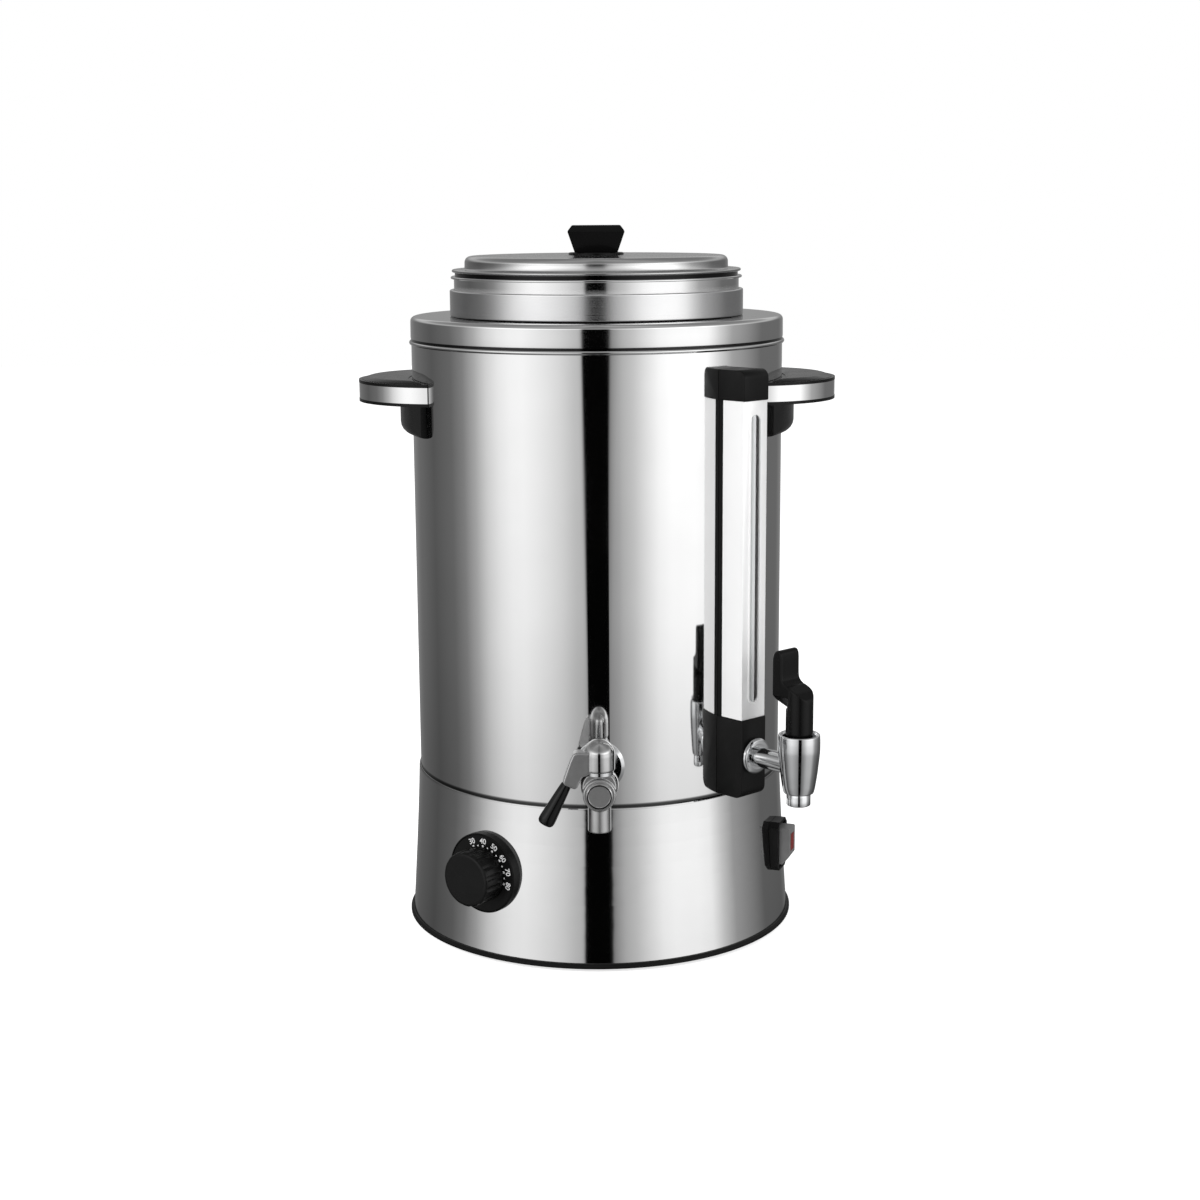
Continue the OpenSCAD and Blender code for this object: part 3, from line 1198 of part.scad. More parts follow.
base_ring();
rubber_feet();
foot_screws();
bottom_plate();
base_skirt();
outer_shell();
water_tank();
insulation_jacket();
heating_element();
element_nuts();
element_seals();
thermostat_unit();
thermostat_bulb();
thermostat_screws();
dial_plate();
dial_shaft();
dial_knob();
switch_frame();
switch_rocker();
switch_lens();
cable_gland();
top_cover();
neck_collar();
milk_pot();
lid_shell();
lid_knob_disc();
lid_knob();
lid_screw();
left_handle();
right_handle();
left_handle_band();
right_handle_band();
left_handle_cap();
right_handle_cap();
shell_bolts();
gauge_top_cap();
gauge_lower_block();
gauge_cover();
gauge_back_strip();
gauge_glass();
gauge_seals();
gauge_inlet_pipe();
water_tap_flange();
water_tap_body();
water_tap_nozzle();
water_lever();
lever_pin();
water_plunger();
plunger_spring();
seat_cup();
milk_tap_tube();
milk_tap_flange();
milk_tap_body();
milk_tap_cap();
milk_tap_gland();
milk_plug();
milk_lever_arm();
milk_lever_sleeve();
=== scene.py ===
import math

import bpy
from mathutils import Matrix, Vector


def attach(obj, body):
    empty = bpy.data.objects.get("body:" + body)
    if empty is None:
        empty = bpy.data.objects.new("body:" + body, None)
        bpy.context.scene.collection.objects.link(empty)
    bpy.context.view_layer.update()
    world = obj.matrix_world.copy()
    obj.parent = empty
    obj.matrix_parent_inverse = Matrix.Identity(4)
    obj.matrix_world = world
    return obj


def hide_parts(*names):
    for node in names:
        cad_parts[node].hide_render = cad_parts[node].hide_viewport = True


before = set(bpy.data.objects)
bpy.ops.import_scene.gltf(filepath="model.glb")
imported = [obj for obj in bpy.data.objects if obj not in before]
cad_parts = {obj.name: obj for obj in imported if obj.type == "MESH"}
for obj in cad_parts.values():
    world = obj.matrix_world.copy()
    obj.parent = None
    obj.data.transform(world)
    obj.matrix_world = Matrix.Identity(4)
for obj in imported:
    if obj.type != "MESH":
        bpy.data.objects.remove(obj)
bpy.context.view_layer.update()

mm = 0.001


# Places on the heater, in millimetres, and directions in degrees from the front
shell_r = 150.0
cover_top = 500.5
dial_az, dial_z, dial_face_r = -36.0, 71.0, 158.14
gauge_az, block_out_r = 43.0, 176.5
water_tap_r = 223.2
milk_tap_r = 199.0

# Sockets of a Mix node that mixes colours
share_in, first_in, second_in, mixed = 0, 6, 7, 2


def linear(hex_code):
    """Turns an sRGB hex colour into the linear colour that a shader takes."""
    parts = [int(hex_code[i:i + 2], 16) / 255 for i in (0, 2, 4)]
    return [p / 12.92 if p <= 0.04045 else ((p + 0.055) / 1.055) ** 2.4 for p in parts] + [1.0]


def add(tree, kind, inputs=None, to=None, **settings):
    """Adds a node. A socket is given a value, or linked to another node's output, and the new
    node's own first output is linked on to a socket if one is given."""
    node = tree.nodes.new("ShaderNode" + kind)
    for name, value in settings.items():
        setattr(node, name, value)
    for socket, value in (inputs or {}).items():
        if isinstance(value, bpy.types.NodeSocket):
            tree.links.new(value, node.inputs[socket])
        else:
            node.inputs[socket].default_value = value
    if to:
        tree.links.new(node.outputs[0], to)
    return node


def set_stops(ramp, points):
    """Sets a colour ramp's stops from pairs of place and grey or hex colour."""
    elements = ramp.color_ramp.elements
    while len(elements) > 1:
        elements.remove(elements[-1])
    for i, (place, colour) in enumerate(points):
        element = elements[0] if i == 0 else elements.new(place)
        element.position = place
        element.color = linear(colour) if isinstance(colour, str) else (colour, colour, colour, 1)
    return ramp.outputs["Color"]


# Camera: a long lens a little above the lid, as in the photograph
camera_place = (0.00134, -1.66345, 0.58770)
camera_tilt, camera_roll = 79.018, -0.361
camera_data = bpy.data.cameras.new("camera")
camera_data.lens = 61.09
camera_data.sensor_width = 36
camera_data.clip_end = 50
camera = bpy.data.objects.new("camera", camera_data)
camera.location = camera_place
tilt = Matrix.Rotation(math.radians(camera_tilt), 3, "X")
camera.rotation_euler = (tilt @ Matrix.Rotation(math.radians(camera_roll), 3, "Z")).to_euler()
bpy.context.collection.objects.link(camera)
bpy.context.scene.camera = camera
bpy.context.scene.view_settings.view_transform = "Standard"

# Studio: two tall soft boxes in front, grey walls at the sides, a paler wall behind, and the dark
# gap between the boxes where the camera stands. Grey of the room by direction, 0 in front.
room = [
    (-180, 140), (-166, 124), (-150, 102), (-122, 82), (-101, 98), (-90, 124), (-80, 165), (-71, 206),
    (-62, 230), (-54, 242), (-46, 244), (-38, 236), (-30, 225), (-22, 211), (-14.8, 192), (-9.9, 180),
    (-9.4, 3), (7.0, 3), (7.7, 116), (9.2, 138), (14.8, 173), (22, 193), (30, 222), (38, 245),
    (46, 254), (62, 255), (71, 248), (80, 205), (90, 158), (120, 100), (150, 98), (178, 140)]
# Share of that light by height, in degrees from straight down to straight up
heights = [
    (-90, 0.1), (-60, 0.14), (-36, 0.18), (-21, 0.24), (-17.4, 0.33), (-13.8, 0.405), (-11.5, 0.455),
    (-8, 0.485), (-4, 0.5), (4, 0.485), (9, 0.6), (14, 1.0), (19, 1.0), (27, 0.55), (38, 0.4),
    (60, 0.4), (90, 0.5)]
room_strength = 2.56
even_grey = (0.62, 0.62, 0.62, 1)
# The walls fade into a plain ceiling between these heights, and this is the most that they fade
ceiling_from, ceiling_full, ceiling_grey, ceiling_share = 10, 22, "8c8c8c", 0.8


def studio():
    """The world: bright surfaces mirror the room, dull ones get an even grey light, and what the
    camera sees past the heater is white."""
    world = bpy.data.worlds.new("studio")
    world.use_nodes = True
    tree = world.node_tree
    tree.nodes.clear()
    direction = add(tree, "SeparateXYZ", {0: add(tree, "TexCoord").outputs["Generated"]})
    forward = add(tree, "Math", {0: direction.outputs["Y"], 1: -1.0}, operation="MULTIPLY")
    azimuth = add(tree, "Math", {0: direction.outputs["X"], 1: forward.outputs[0]}, operation="ARCTAN2")
    turn = add(tree, "MapRange", {"Value": azimuth.outputs[0], "From Min": -math.pi, "From Max": math.pi})
    greys = [((a + 180) / 360, "%02x%02x%02x" % (grey, grey, grey)) for a, grey in room]
    room_colour = set_stops(add(tree, "ValToRGB", {0: turn.outputs[0]}), greys)
    rise = add(tree, "Math", {0: direction.outputs["Z"]}, operation="ARCSINE")
    height = add(tree, "MapRange", {
        "Value": rise.outputs[0], "From Min": -math.pi / 2, "From Max": math.pi / 2})
    shares = [((h + 90) / 180, share) for h, share in heights]
    height_share = set_stops(add(tree, "ValToRGB", {0: height.outputs[0]}), shares)
    ceiling = add(tree, "MapRange", {
        "Value": rise.outputs[0], "From Min": math.radians(ceiling_from),
        "From Max": math.radians(ceiling_full), "To Max": ceiling_share})
    walls = add(tree, "Mix", {
        share_in: ceiling.outputs[0], first_in: room_colour, second_in: linear(ceiling_grey)},
        data_type="RGBA")
    shine = add(tree, "Mix", {share_in: 1.0, first_in: walls.outputs[mixed], second_in: height_share},
                data_type="RGBA", blend_type="MULTIPLY")
    bright = add(tree, "VectorMath", {0: shine.outputs[mixed], "Scale": room_strength}, operation="SCALE")
    ray = add(tree, "LightPath").outputs
    lit = add(tree, "Mix", {
        share_in: ray["Is Glossy Ray"], first_in: even_grey, second_in: bright.outputs[0]},
        data_type="RGBA")
    seen = add(tree, "Math", {0: ray["Is Camera Ray"], 1: ray["Is Transmission Ray"]}, operation="MAXIMUM")
    final = add(tree, "Mix", {
        share_in: seen.outputs[0], first_in: lit.outputs[mixed], second_in: (1, 1, 1, 1)},
        data_type="RGBA")
    background = add(tree, "Background", {"Color": final.outputs[mixed]})
    add(tree, "OutputWorld", {"Surface": background.outputs[0]})
    bpy.context.scene.world = world


def soft_box(name, place, watts, aim=(0, 0, 0.3), size=(0.9, 1.4)):
    """A tall soft lamp that lights the heater and is mirrored in nothing; places in metres."""
    data = bpy.data.lights.new(name, "AREA")
    data.shape = "RECTANGLE"
    data.size, data.size_y = size
    data.energy = watts
    lamp = bpy.data.objects.new(name, data)
    lamp.location = place
    lamp.rotation_euler = (Vector(aim) - Vector(place)).to_track_quat("-Z", "Y").to_euler()
    lamp.visible_glossy = False
    lamp.visible_camera = False
    bpy.context.collection.objects.link(lamp)


def paper_floor(size=12):
    """White paper under the heater. It glows for the camera alone, so that it comes out white."""
    paper = bpy.data.materials.new("white_paper_floor")
    paper.use_nodes = True
    tree = paper.node_tree
    tree.nodes.clear()
    matt = add(tree, "BsdfDiffuse", {"Color": (0.8, 0.8, 0.8, 1)})
    glow = add(tree, "Emission", {"Color": (1, 1, 1, 1), "Strength": 0.7})
    both = add(tree, "AddShader", {0: matt.outputs[0], 1: glow.outputs[0]})
    ray = add(tree, "LightPath").outputs
    seen = add(tree, "MixShader", {0: ray["Is Camera Ray"], 1: matt.outputs[0], 2: both.outputs[0]})
    add(tree, "OutputMaterial", {"Surface": seen.outputs[0]})
    bpy.ops.object.select_all(action="DESELECT")
    bpy.ops.mesh.primitive_plane_add(size=size, location=(0, 0, 0))
    floor = bpy.context.object
    floor.name = "floor"
    floor.visible_glossy = False
    floor.data.materials.append(paper)


studio()
soft_box("left_box", (-1.5, -1.5, 1.3), watts=32)
soft_box("right_box", (1.6, -1.3, 1.1), watts=16)
paper_floor()


# Materials
def surface(name, colour, metallic, roughness, **sockets):
    """A new material with its Principled node. Other sockets have their names, with _ for a space."""
    made = bpy.data.materials.new(name)
    made.use_nodes = True
    tree = made.node_tree
    tree.nodes.clear()
    inputs = {"Base Color": linear(colour), "Metallic": metallic, "Roughness": roughness}
    inputs.update({key.replace("_", " "): value for key, value in sockets.items()})
    shader = add(tree, "BsdfPrincipled", inputs)
    add(tree, "OutputMaterial", {"Surface": shader.outputs[0]})
    return made, tree, shader


def grain(tree, grain_mm, stretch=(1, 1, 1), detail=3.0):
    """A cloudy pattern whose grains have a real size in millimetres."""
    scale = [s / (grain_mm * mm) for s in stretch]
    places = add(tree, "Mapping", {"Vector": add(tree, "TexCoord").outputs["Object"], "Scale": scale})
    cloud = add(tree, "TexNoise", {"Vector": places.outputs[0], "Scale": 1.0, "Detail": detail})
    return cloud.outputs["Fac"]


# A cloudy pattern's values lie mostly between these two
thin, thick = 0.3, 0.7


def two_shades(tree, shader, pattern, low, high):
    """Lets the colour drift between two shades, as the pattern does."""
    shade = set_stops(add(tree, "ValToRGB", {0: pattern}), [(thin, low), (thick, high)])
    tree.links.new(shade, shader.inputs["Base Color"])


def uneven_gloss(tree, shader, pattern, low, high):
    """Lets the roughness drift between two values, as the pattern does."""
    add(tree, "MapRange", {
        "Value": pattern, "From Min": thin, "From Max": thick, "To Min": low, "To Max": high},
        shader.inputs["Roughness"])


def spot_on_heater(tree):
    """The shaded point's own X, Y and Z on the heater, in metres."""
    return add(tree, "SeparateXYZ", {0: add(tree, "TexCoord").outputs["Object"]}).outputs


def darkened(tree, shader, shades):
    """Paints shade into the metal's colour by height, as painted shadow in the seams and gaps between
    parts: pairs of a height in millimetres and the share of the colour that is left there."""
    low, high = shades[0][0], shades[-1][0]
    level = add(tree, "MapRange", {
        "Value": spot_on_heater(tree)["Z"], "From Min": low * mm, "From Max": high * mm})
    shade = set_stops(add(tree, "ValToRGB", {0: level.outputs[0]}),
                      [((z - low) / (high - low), share) for z, share in shades])
    plain = shader.inputs["Base Color"].links[0].from_socket
    both = add(tree, "Mix", {share_in: 1.0, first_in: plain, second_in: shade},
               data_type="RGBA", blend_type="MULTIPLY")
    tree.links.new(both.outputs[mixed], shader.inputs["Base Color"])


def mirror_steel(name, shades=None):
    # 304 sheet, cold rolled and buffed to a mirror: sharp reflections, with faint smears of the wheel
    made, tree, shader = surface(name, "e8e8e8", 1.0, 0.05)
    two_shades(tree, shader, grain(tree, 90), "e5e5e5", "ebebeb")
    uneven_gloss(tree, shader, grain(tree, 35, (1, 1, 0.35)), 0.035, 0.075)
    # Painted shade: with shades given, the colour is darkened in bands by height, as painted shadow in the
    # seams
    if shades:
        darkened(tree, shader, shades)
    return made


def turned_steel(name, roughness, groove_mm, colours, shades=None, dull_below=None):
    # 304 sheet spun and polished on a lathe: fine rings that stretch the highlights across them.
    # Inside the pot, below a height, it is left dull and scatters the light.
    made, tree, shader = surface(name, colours[0], 1.0, roughness, Anisotropic=0.35)
    add(tree, "Tangent", None, shader.inputs["Tangent"], direction_type="RADIAL", axis="Z")
    two_shades(tree, shader, grain(tree, 60), *colours)
    spot = spot_on_heater(tree)
    level = add(tree, "CombineXYZ", {"X": spot["X"], "Y": spot["Y"]})
    reach = add(tree, "VectorMath", {0: level.outputs[0]}, operation="LENGTH").outputs["Value"]
    along = add(tree, "Math", {0: reach, 1: spot["Z"]}, operation="ADD")
    rings = add(tree, "TexNoise", {
        "W": along.outputs[0], "Scale": 1 / (groove_mm * mm), "Detail": 4.0},
        noise_dimensions="1D").outputs["Fac"]
    uneven_gloss(tree, shader, rings, roughness * 0.8, roughness * 1.25)
    add(tree, "Bump", {"Strength": 0.35, "Distance": 0.01 * mm, "Height": rings}, shader.inputs["Normal"])
    # Painted shade: with shades given, the colour is darkened in bands by height, as painted shadow in the
    # seams
    if shades:
        darkened(tree, shader, shades)
    if dull_below:
        add(tree, "MapRange", {
            "Value": spot["Z"], "From Min": (dull_below - 5) * mm, "From Max": (dull_below + 5) * mm,
            "To Min": 0.45}, shader.inputs["Metallic"])
    return made


def mill_steel():
    # 2B mill finish on the parts inside: grey and soft, with a faint rolling grain
    made, tree, shader = surface("mill_finish_304_steel", "b9b8b6", 1.0, 0.32)
    rolled = grain(tree, 3, (1, 1, 0.1))
    two_shades(tree, shader, rolled, "aeadab", "c4c3c1")
    add(tree, "Bump", {"Strength": 0.3, "Distance": 0.02 * mm, "Height": rolled}, shader.inputs["Normal"])
    return made


def plated(name, colour, roughness, ripple_mm, depth_mm):
    # Chrome over a cast or turned part: bright, with the slight waviness of the metal below it
    made, tree, shader = surface(name, colour, 1.0, roughness)
    uneven_gloss(tree, shader, grain(tree, 8), roughness * 0.7, roughness * 1.4)
    ripple = grain(tree, ripple_mm, detail=2.0)
    add(tree, "Bump", {"Strength": 0.5, "Distance": depth_mm * mm, "Height": ripple},
        shader.inputs["Normal"])
    return made


def channel_steel():
    # Steel strip brushed so finely that no line shows: pale and even, with no sharp reflection
    made, tree, shader = surface("brushed_steel_channel", "fafafa", 0.25, 0.4)
    two_shades(tree, shader, grain(tree, 60), "f8f8f8", "fcfcfc")
    return made


def part_satin_chrome(name, axis, satin_at, bright_at):
    # Chrome that is satin on the faces left as cast, and polished bright on the turned ones. The
    # two lie apart along one axis, and their places on it are in millimetres.
    made, tree, shader = surface(name, "c8c8c8", 1.0, 0.3)
    two_shades(tree, shader, grain(tree, 9), "c2c2c2", "cecece")
    add(tree, "MapRange", {
        "Value": spot_on_heater(tree)[axis], "From Min": satin_at * mm, "From Max": bright_at * mm,
        "To Min": 0.36, "To Max": 0.08}, shader.inputs["Roughness"])
    return made


def zinc():
    # Blue-white zinc plating on the fasteners: dull, with a cloudy bloom
    made, tree, shader = surface("zinc_plated_steel", "b4b7ba", 1.0, 0.38)
    two_shades(tree, shader, grain(tree, 2), "a6a9ad", "c2c4c6")
    uneven_gloss(tree, shader, grain(tree, 3), 0.3, 0.48)
    return made


def soft_metal(name, low, high, roughness):
    # Brass, copper or spring wire as drawn: half bright, with duller spots where it has tarnished
    made, tree, shader = surface(name, high, 1.0, roughness)
    two_shades(tree, shader, grain(tree, 4), low, high)
    uneven_gloss(tree, shader, grain(tree, 6), roughness * 0.8, roughness * 1.4)
    return made


def black_moulding(name, low, high, roughness, grain_mm, depth_mm, level):
    # Moulded black plastic: near black, with the fine spark-eroded grain of its mould
    made, tree, shader = surface(name, high, 0.0, roughness, Specular_IOR_Level=level)
    two_shades(tree, shader, grain(tree, 30), low, high)
    uneven_gloss(tree, shader, grain(tree, 12), roughness * 0.85, roughness * 1.15)
    eroded = grain(tree, grain_mm, detail=2.0)
    add(tree, "Bump", {"Strength": 0.6, "Distance": depth_mm * mm, "Height": eroded},
        shader.inputs["Normal"])
    return made


def plain_moulding(name, low, high, roughness, grain_mm, depth_mm, **sockets):
    # Coloured plastic, rubber, ceramic or ink: one even colour, matt to half gloss
    made, tree, shader = surface(name, high, 0.0, roughness, **sockets)
    two_shades(tree, shader, grain(tree, 10), low, high)
    add(tree, "Bump", {"Strength": 0.5, "Distance": depth_mm * mm, "Height": grain(tree, grain_mm)},
        shader.inputs["Normal"])
    return made


def glass():
    # Borosilicate tube with a white back: milky, with a smooth fire-drawn surface
    made, tree, shader = surface("white_backed_borosilicate_glass", "eef1f1", 0.0, 0.02, IOR=1.47,
                                 Transmission_Weight=0.25)
    uneven_gloss(tree, shader, grain(tree, 20), 0.01, 0.04)
    return made


def wool():
    # Mineral wool mat: matted fibres in a dull yellow
    made, tree, shader = surface("mineral_wool_mat", "b7a468", 0.0, 0.95)
    fibres = grain(tree, 3, (1, 1, 4), 8.0)
    two_shades(tree, shader, fibres, "94824c", "cdbd86")
    add(tree, "Bump", {"Strength": 0.8, "Distance": 1.0 * mm, "Height": fibres}, shader.inputs["Normal"])
    return made


bright_sheet, spun_sheet, satin_sheet = ("e2e2e2", "ebebeb"), ("cdcdcd", "d8d8d8"), ("dededf", "e9e9e9")
# Painted shade: the shell, skirt, cover, lid and collar are darkened in bands by height, as painted shadow
# in their seams and gaps
finish = {
    "mirror_steel": mirror_steel("mirror_polished_304_steel"),
    "shell_steel": mirror_steel("mirror_polished_304_shell_painted_seam_shade",
                                [(126, 0.06), (131.9, 0.08), (132.7, 0.35), (133.5, 1.0)]),
    "skirt_steel": mirror_steel("mirror_polished_304_skirt_painted_seam_shade", [(128, 1.0), (129.6, 0.55), (130.2, 0.25)]),
    "pot_steel": turned_steel("turned_304_pot_dull_inside", 0.08, 0.35, bright_sheet, dull_below=520),
    "cover_steel": turned_steel("turned_and_buffed_304_cover_painted_seam_shade", 0.06, 0.35, bright_sheet,
                                [(481.2, 1.0), (481.5, 0.04), (483.2, 0.04), (483.6, 1.0)]),
    "lid_steel": turned_steel("turned_304_steel_lid_painted_gap_shade", 0.14, 0.5, spun_sheet,
                              [(530.3, 1.0), (531, 0.03), (535.0, 0.03), (535.4, 1.0)]),
    "collar_steel": turned_steel("satin_turned_304_steel_painted_seam_shade", 0.18, 0.6, satin_sheet,
                                 [(500, 0.1), (501.2, 0.15), (502.2, 1.0)]),
    "satin_steel": mill_steel(),
    "zinc_steel": zinc(),
    "chrome_trim": plated("bright_chrome_strip", "eeeeee", 0.05, 30, 0.02),
    "gauge_steel": channel_steel(),
    "black_gloss": black_moulding("black_glossy_sleeve", "060606", "090909", 0.12, 1.5, 0.005, 0.3),
    "chrome_plate": plated("chrome_plated_brass", "dfe0e1", 0.09, 6, 0.03),
    "cast_chrome": part_satin_chrome("satin_chrome_cap_with_bright_rim", "Y", -211.85, -212.15),
    "lever_chrome": part_satin_chrome("satin_arm_with_bright_bell", "X", -9, -2.5),
    "tap_chrome": part_satin_chrome("bright_body_with_satin_face", "Y", -205, -203),
    "spring_steel": soft_metal("drawn_spring_wire", "8e8f90", "a9aaab", 0.3),
    "brass": soft_metal("turned_brass", "9c7a34", "c9a453", 0.28),
    "copper": soft_metal("drawn_copper", "8f5236", "c07a52", 0.3),
    "black_plastic": black_moulding("black_abs_moulding", "090909", "0e0e0e", 0.4, 0.7, 0.02, 0.2),
    "black_gloss_plastic": black_moulding("black_nylon_knob", "090909", "0e0e0e", 0.32, 1.2, 0.015, 0.22),
    "black_bakelite": black_moulding("black_phenolic_moulding", "070707", "0b0b0b", 0.24, 1.5, 0.01, 0.2),
    "grey_plastic": plain_moulding("grey_nylon_rocker", "6a6a6a", "757575", 0.45, 0.8, 0.02),
    "red_lens": plain_moulding("red_acrylic_lens", "6e0f0c", "8a1511", 0.15, 3, 0.01, Coat_Weight=0.4),
    "black_rubber": plain_moulding("black_rubber", "151515", "1e1e1e", 0.8, 0.6, 0.05),
    "red_silicone": plain_moulding("red_silicone_rubber", "83261c", "9c3226", 0.6, 1, 0.03),
    "white_silicone": plain_moulding("white_silicone_rubber", "d2cdc2", "e4dfd4", 0.55, 1, 0.03),
    "clear_glass": glass(),
    "mineral_wool": wool(),
    "cream_ceramic": plain_moulding("cream_ceramic", "c8bfa6", "ddd5be", 0.4, 1.5, 0.04),
    "white_ink": plain_moulding("white_printing_ink", "c4c4c4", "dcdcdc", 0.5, 0.5, 0.01),
}
# Steel pieces that share a slot of the record and still have a finish of their own; all but the pot carry
# painted seam shade
own_finish = {"top_cover": "cover_steel", "lid_shell": "lid_steel", "neck_collar": "collar_steel",
              "milk_pot": "pot_steel", "outer_shell": "shell_steel", "base_skirt": "skirt_steel"}
for name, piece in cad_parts.items():
    slot_name = piece.material_slots[0].material.name
    piece.material_slots[0].material = finish[own_finish.get(name, slot_name)]


# Modelling
def pick(*pieces):
    """Selects only these pieces; the first is the active one."""
    bpy.ops.object.select_all(action="DESELECT")
    for piece in pieces:
        piece.select_set(True)
    bpy.context.view_layer.objects.active = pieces[0]


def apply_modifier(piece, kind, **settings):
    """Adds a modifier with its settings and applies it."""
    pick(piece)
    modifier = piece.modifiers.new(kind.lower(), kind)
    for name, value in settings.items():
        setattr(modifier, name, value)
    bpy.ops.object.modifier_apply(modifier=modifier.name)


def rounded(piece, width, segments=3, corner=30):
    """Rounds the edges where faces meet at more than the corner's angle."""
    apply_modifier(piece, "BEVEL", width=width * mm, segments=segments, limit_method="ANGLE",
                   angle_limit=math.radians(corner), use_clamp_overlap=True)


def curved(points, steps=6):
    """Points on a smooth curve through the given ones."""
    ends = [points[0]] + list(points) + [points[-1]]
    made = [points[0]]
    for before, start, end, after in zip(ends, ends[1:], ends[2:], ends[3:]):
        for step in range(1, steps + 1):
            t = step / steps
            made.append(tuple(
                0.5 * (2 * q + (r - p) * t + (2 * p - 5 * q + 4 * r - s) * t * t
                       + (3 * q - p - 3 * r + s) * t ** 3)
                for p, q, r, s in zip(before, start, end, after)))
    return made


def arc(across, up, r, start, end, steps=8):
    """Points round an arc, from one angle in degrees to another."""
    angles = [math.radians(start + (end - start) * i / steps) for i in range(steps + 1)]
    return [(across + r * math.cos(a), up + r * math.sin(a)) for a in angles]


def turned(rings, around=128):
    """Turns a piece about the upright axis: a circle is extruded from ring to ring.
    Each ring is a radius and a height, in millimetres."""
    point_r = 0.01
    bpy.ops.object.select_all(action="DESELECT")
    bpy.ops.mesh.primitive_circle_add(vertices=around, radius=max(rings[0][0], point_r) * mm,
                                      location=(0, 0, rings[0][1] * mm))
    bpy.ops.object.mode_set(mode="EDIT")
    bpy.ops.mesh.select_all(action="SELECT")
    for (r0, z0), (r1, z1) in zip(rings, rings[1:]):
        bpy.ops.mesh.extrude_region_move(TRANSFORM_OT_translate={"value": (0, 0, (z1 - z0) * mm)})
        grow = max(r1, point_r) / max(r0, point_r)
        bpy.ops.transform.resize(value=(grow, grow, 1))
    return closed()


def slab(outline, depth):
    """Traces an outline of across and up point by point, fills it, and gives it a depth along y."""
    bpy.ops.object.select_all(action="DESELECT")
    bpy.ops.mesh.primitive_plane_add(size=mm)
    bpy.ops.object.mode_set(mode="EDIT")
    bpy.ops.mesh.select_all(action="SELECT")
    bpy.ops.mesh.merge(type="CENTER")
    bpy.ops.transform.translate(value=(outline[0][0] * mm, -depth / 2 * mm, outline[0][1] * mm))
    for (x0, z0), (x1, z1) in zip(outline, outline[1:]):
        step = ((x1 - x0) * mm, 0, (z1 - z0) * mm)
        bpy.ops.mesh.extrude_region_move(TRANSFORM_OT_translate={"value": step})
    bpy.ops.mesh.select_all(action="SELECT")
    bpy.ops.mesh.edge_face_add()
    bpy.ops.mesh.extrude_region_move(TRANSFORM_OT_translate={"value": (0, depth * mm, 0)})
    return closed()


def closed():
    """Merges doubles in edit mode, turns the faces outwards and applies the piece's place."""
    bpy.ops.mesh.select_all(action="SELECT")
    bpy.ops.mesh.remove_doubles(threshold=0.03 * mm)
    bpy.ops.mesh.normals_make_consistent(inside=False)
    bpy.ops.object.mode_set(mode="OBJECT")
    bpy.ops.object.transform_apply(location=True, rotation=True, scale=True)
    return bpy.context.object


def cut_flat(piece, place, normal):
    """Cuts a piece off at a flat face; what lies beyond the face goes."""
    pick(piece)
    bpy.ops.object.mode_set(mode="EDIT")
    bpy.ops.mesh.select_all(action="SELECT")
    bpy.ops.mesh.bisect(plane_co=Vector(place) * mm, plane_no=normal, use_fill=True, clear_outer=True)
    bpy.ops.object.mode_set(mode="OBJECT")


def put(piece, turn, place=(0, 0, 0)):
    """Turns a piece, moves it to its place in millimetres, and applies both."""
    pick(piece)
    piece.matrix_world = Matrix.Translation(Vector(place) * mm) @ turn
    bpy.ops.object.transform_apply(location=True, rotation=True, scale=True)
    return piece


def facing(angle):
    """Turn round the heater's axis, from the front to a direction in degrees."""
    return Matrix.Rotation(math.radians(angle), 4, "Z")


lying = Matrix.Rotation(math.pi / 2, 4, "X")
edge_on = Matrix.Rotation(-math.pi / 2, 4, "Z")


def upright(piece, angle, r, z=0.0):
    """Stands a piece in a direction, at a radius and a height."""
    return put(piece, facing(angle), facing(angle) @ Vector((0, -r, z)))


def outwards(piece, angle, r, z):
    """Lays an upright piece along a direction, with its foot at a radius and a height."""
    return put(piece, facing(angle) @ lying, facing(angle) @ Vector((0, -r, z)))


def keep_inside(piece, envelope):
    """Keeps what lies inside an envelope, which then goes."""
    apply_modifier(piece, "BOOLEAN", operation="INTERSECT", object=envelope)
    pick(envelope)
    bpy.ops.object.delete()


def cut_away(piece, tool):
    """Takes a tool's shape out of a piece; the tool then goes."""
    apply_modifier(piece, "BOOLEAN", operation="DIFFERENCE", object=tool)
    pick(tool)
    bpy.ops.object.delete()


def cast(pieces, grain_mm, soften):
    """Melts overlapping pieces into one skin with the soft corners of a casting."""
    pick(*pieces)
    bpy.ops.object.join()
    piece = bpy.context.object
    apply_modifier(piece, "REMESH", mode="VOXEL", voxel_size=grain_mm * mm)
    apply_modifier(piece, "SMOOTH", factor=0.5, iterations=soften)
    return piece


def done(piece, name, body, slot, *nodes, look=None, smooth=30):
    """Names a piece, smooths it, gives it its body and its finish, and hides the nodes that it stands for.
    """
    pick(piece)
    bpy.ops.object.shade_smooth_by_angle(angle=math.radians(smooth))
    piece.name = name
    piece.data.materials.clear()
    piece.data.materials.append(finish[look or slot])
    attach(piece, body)
    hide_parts(*nodes)


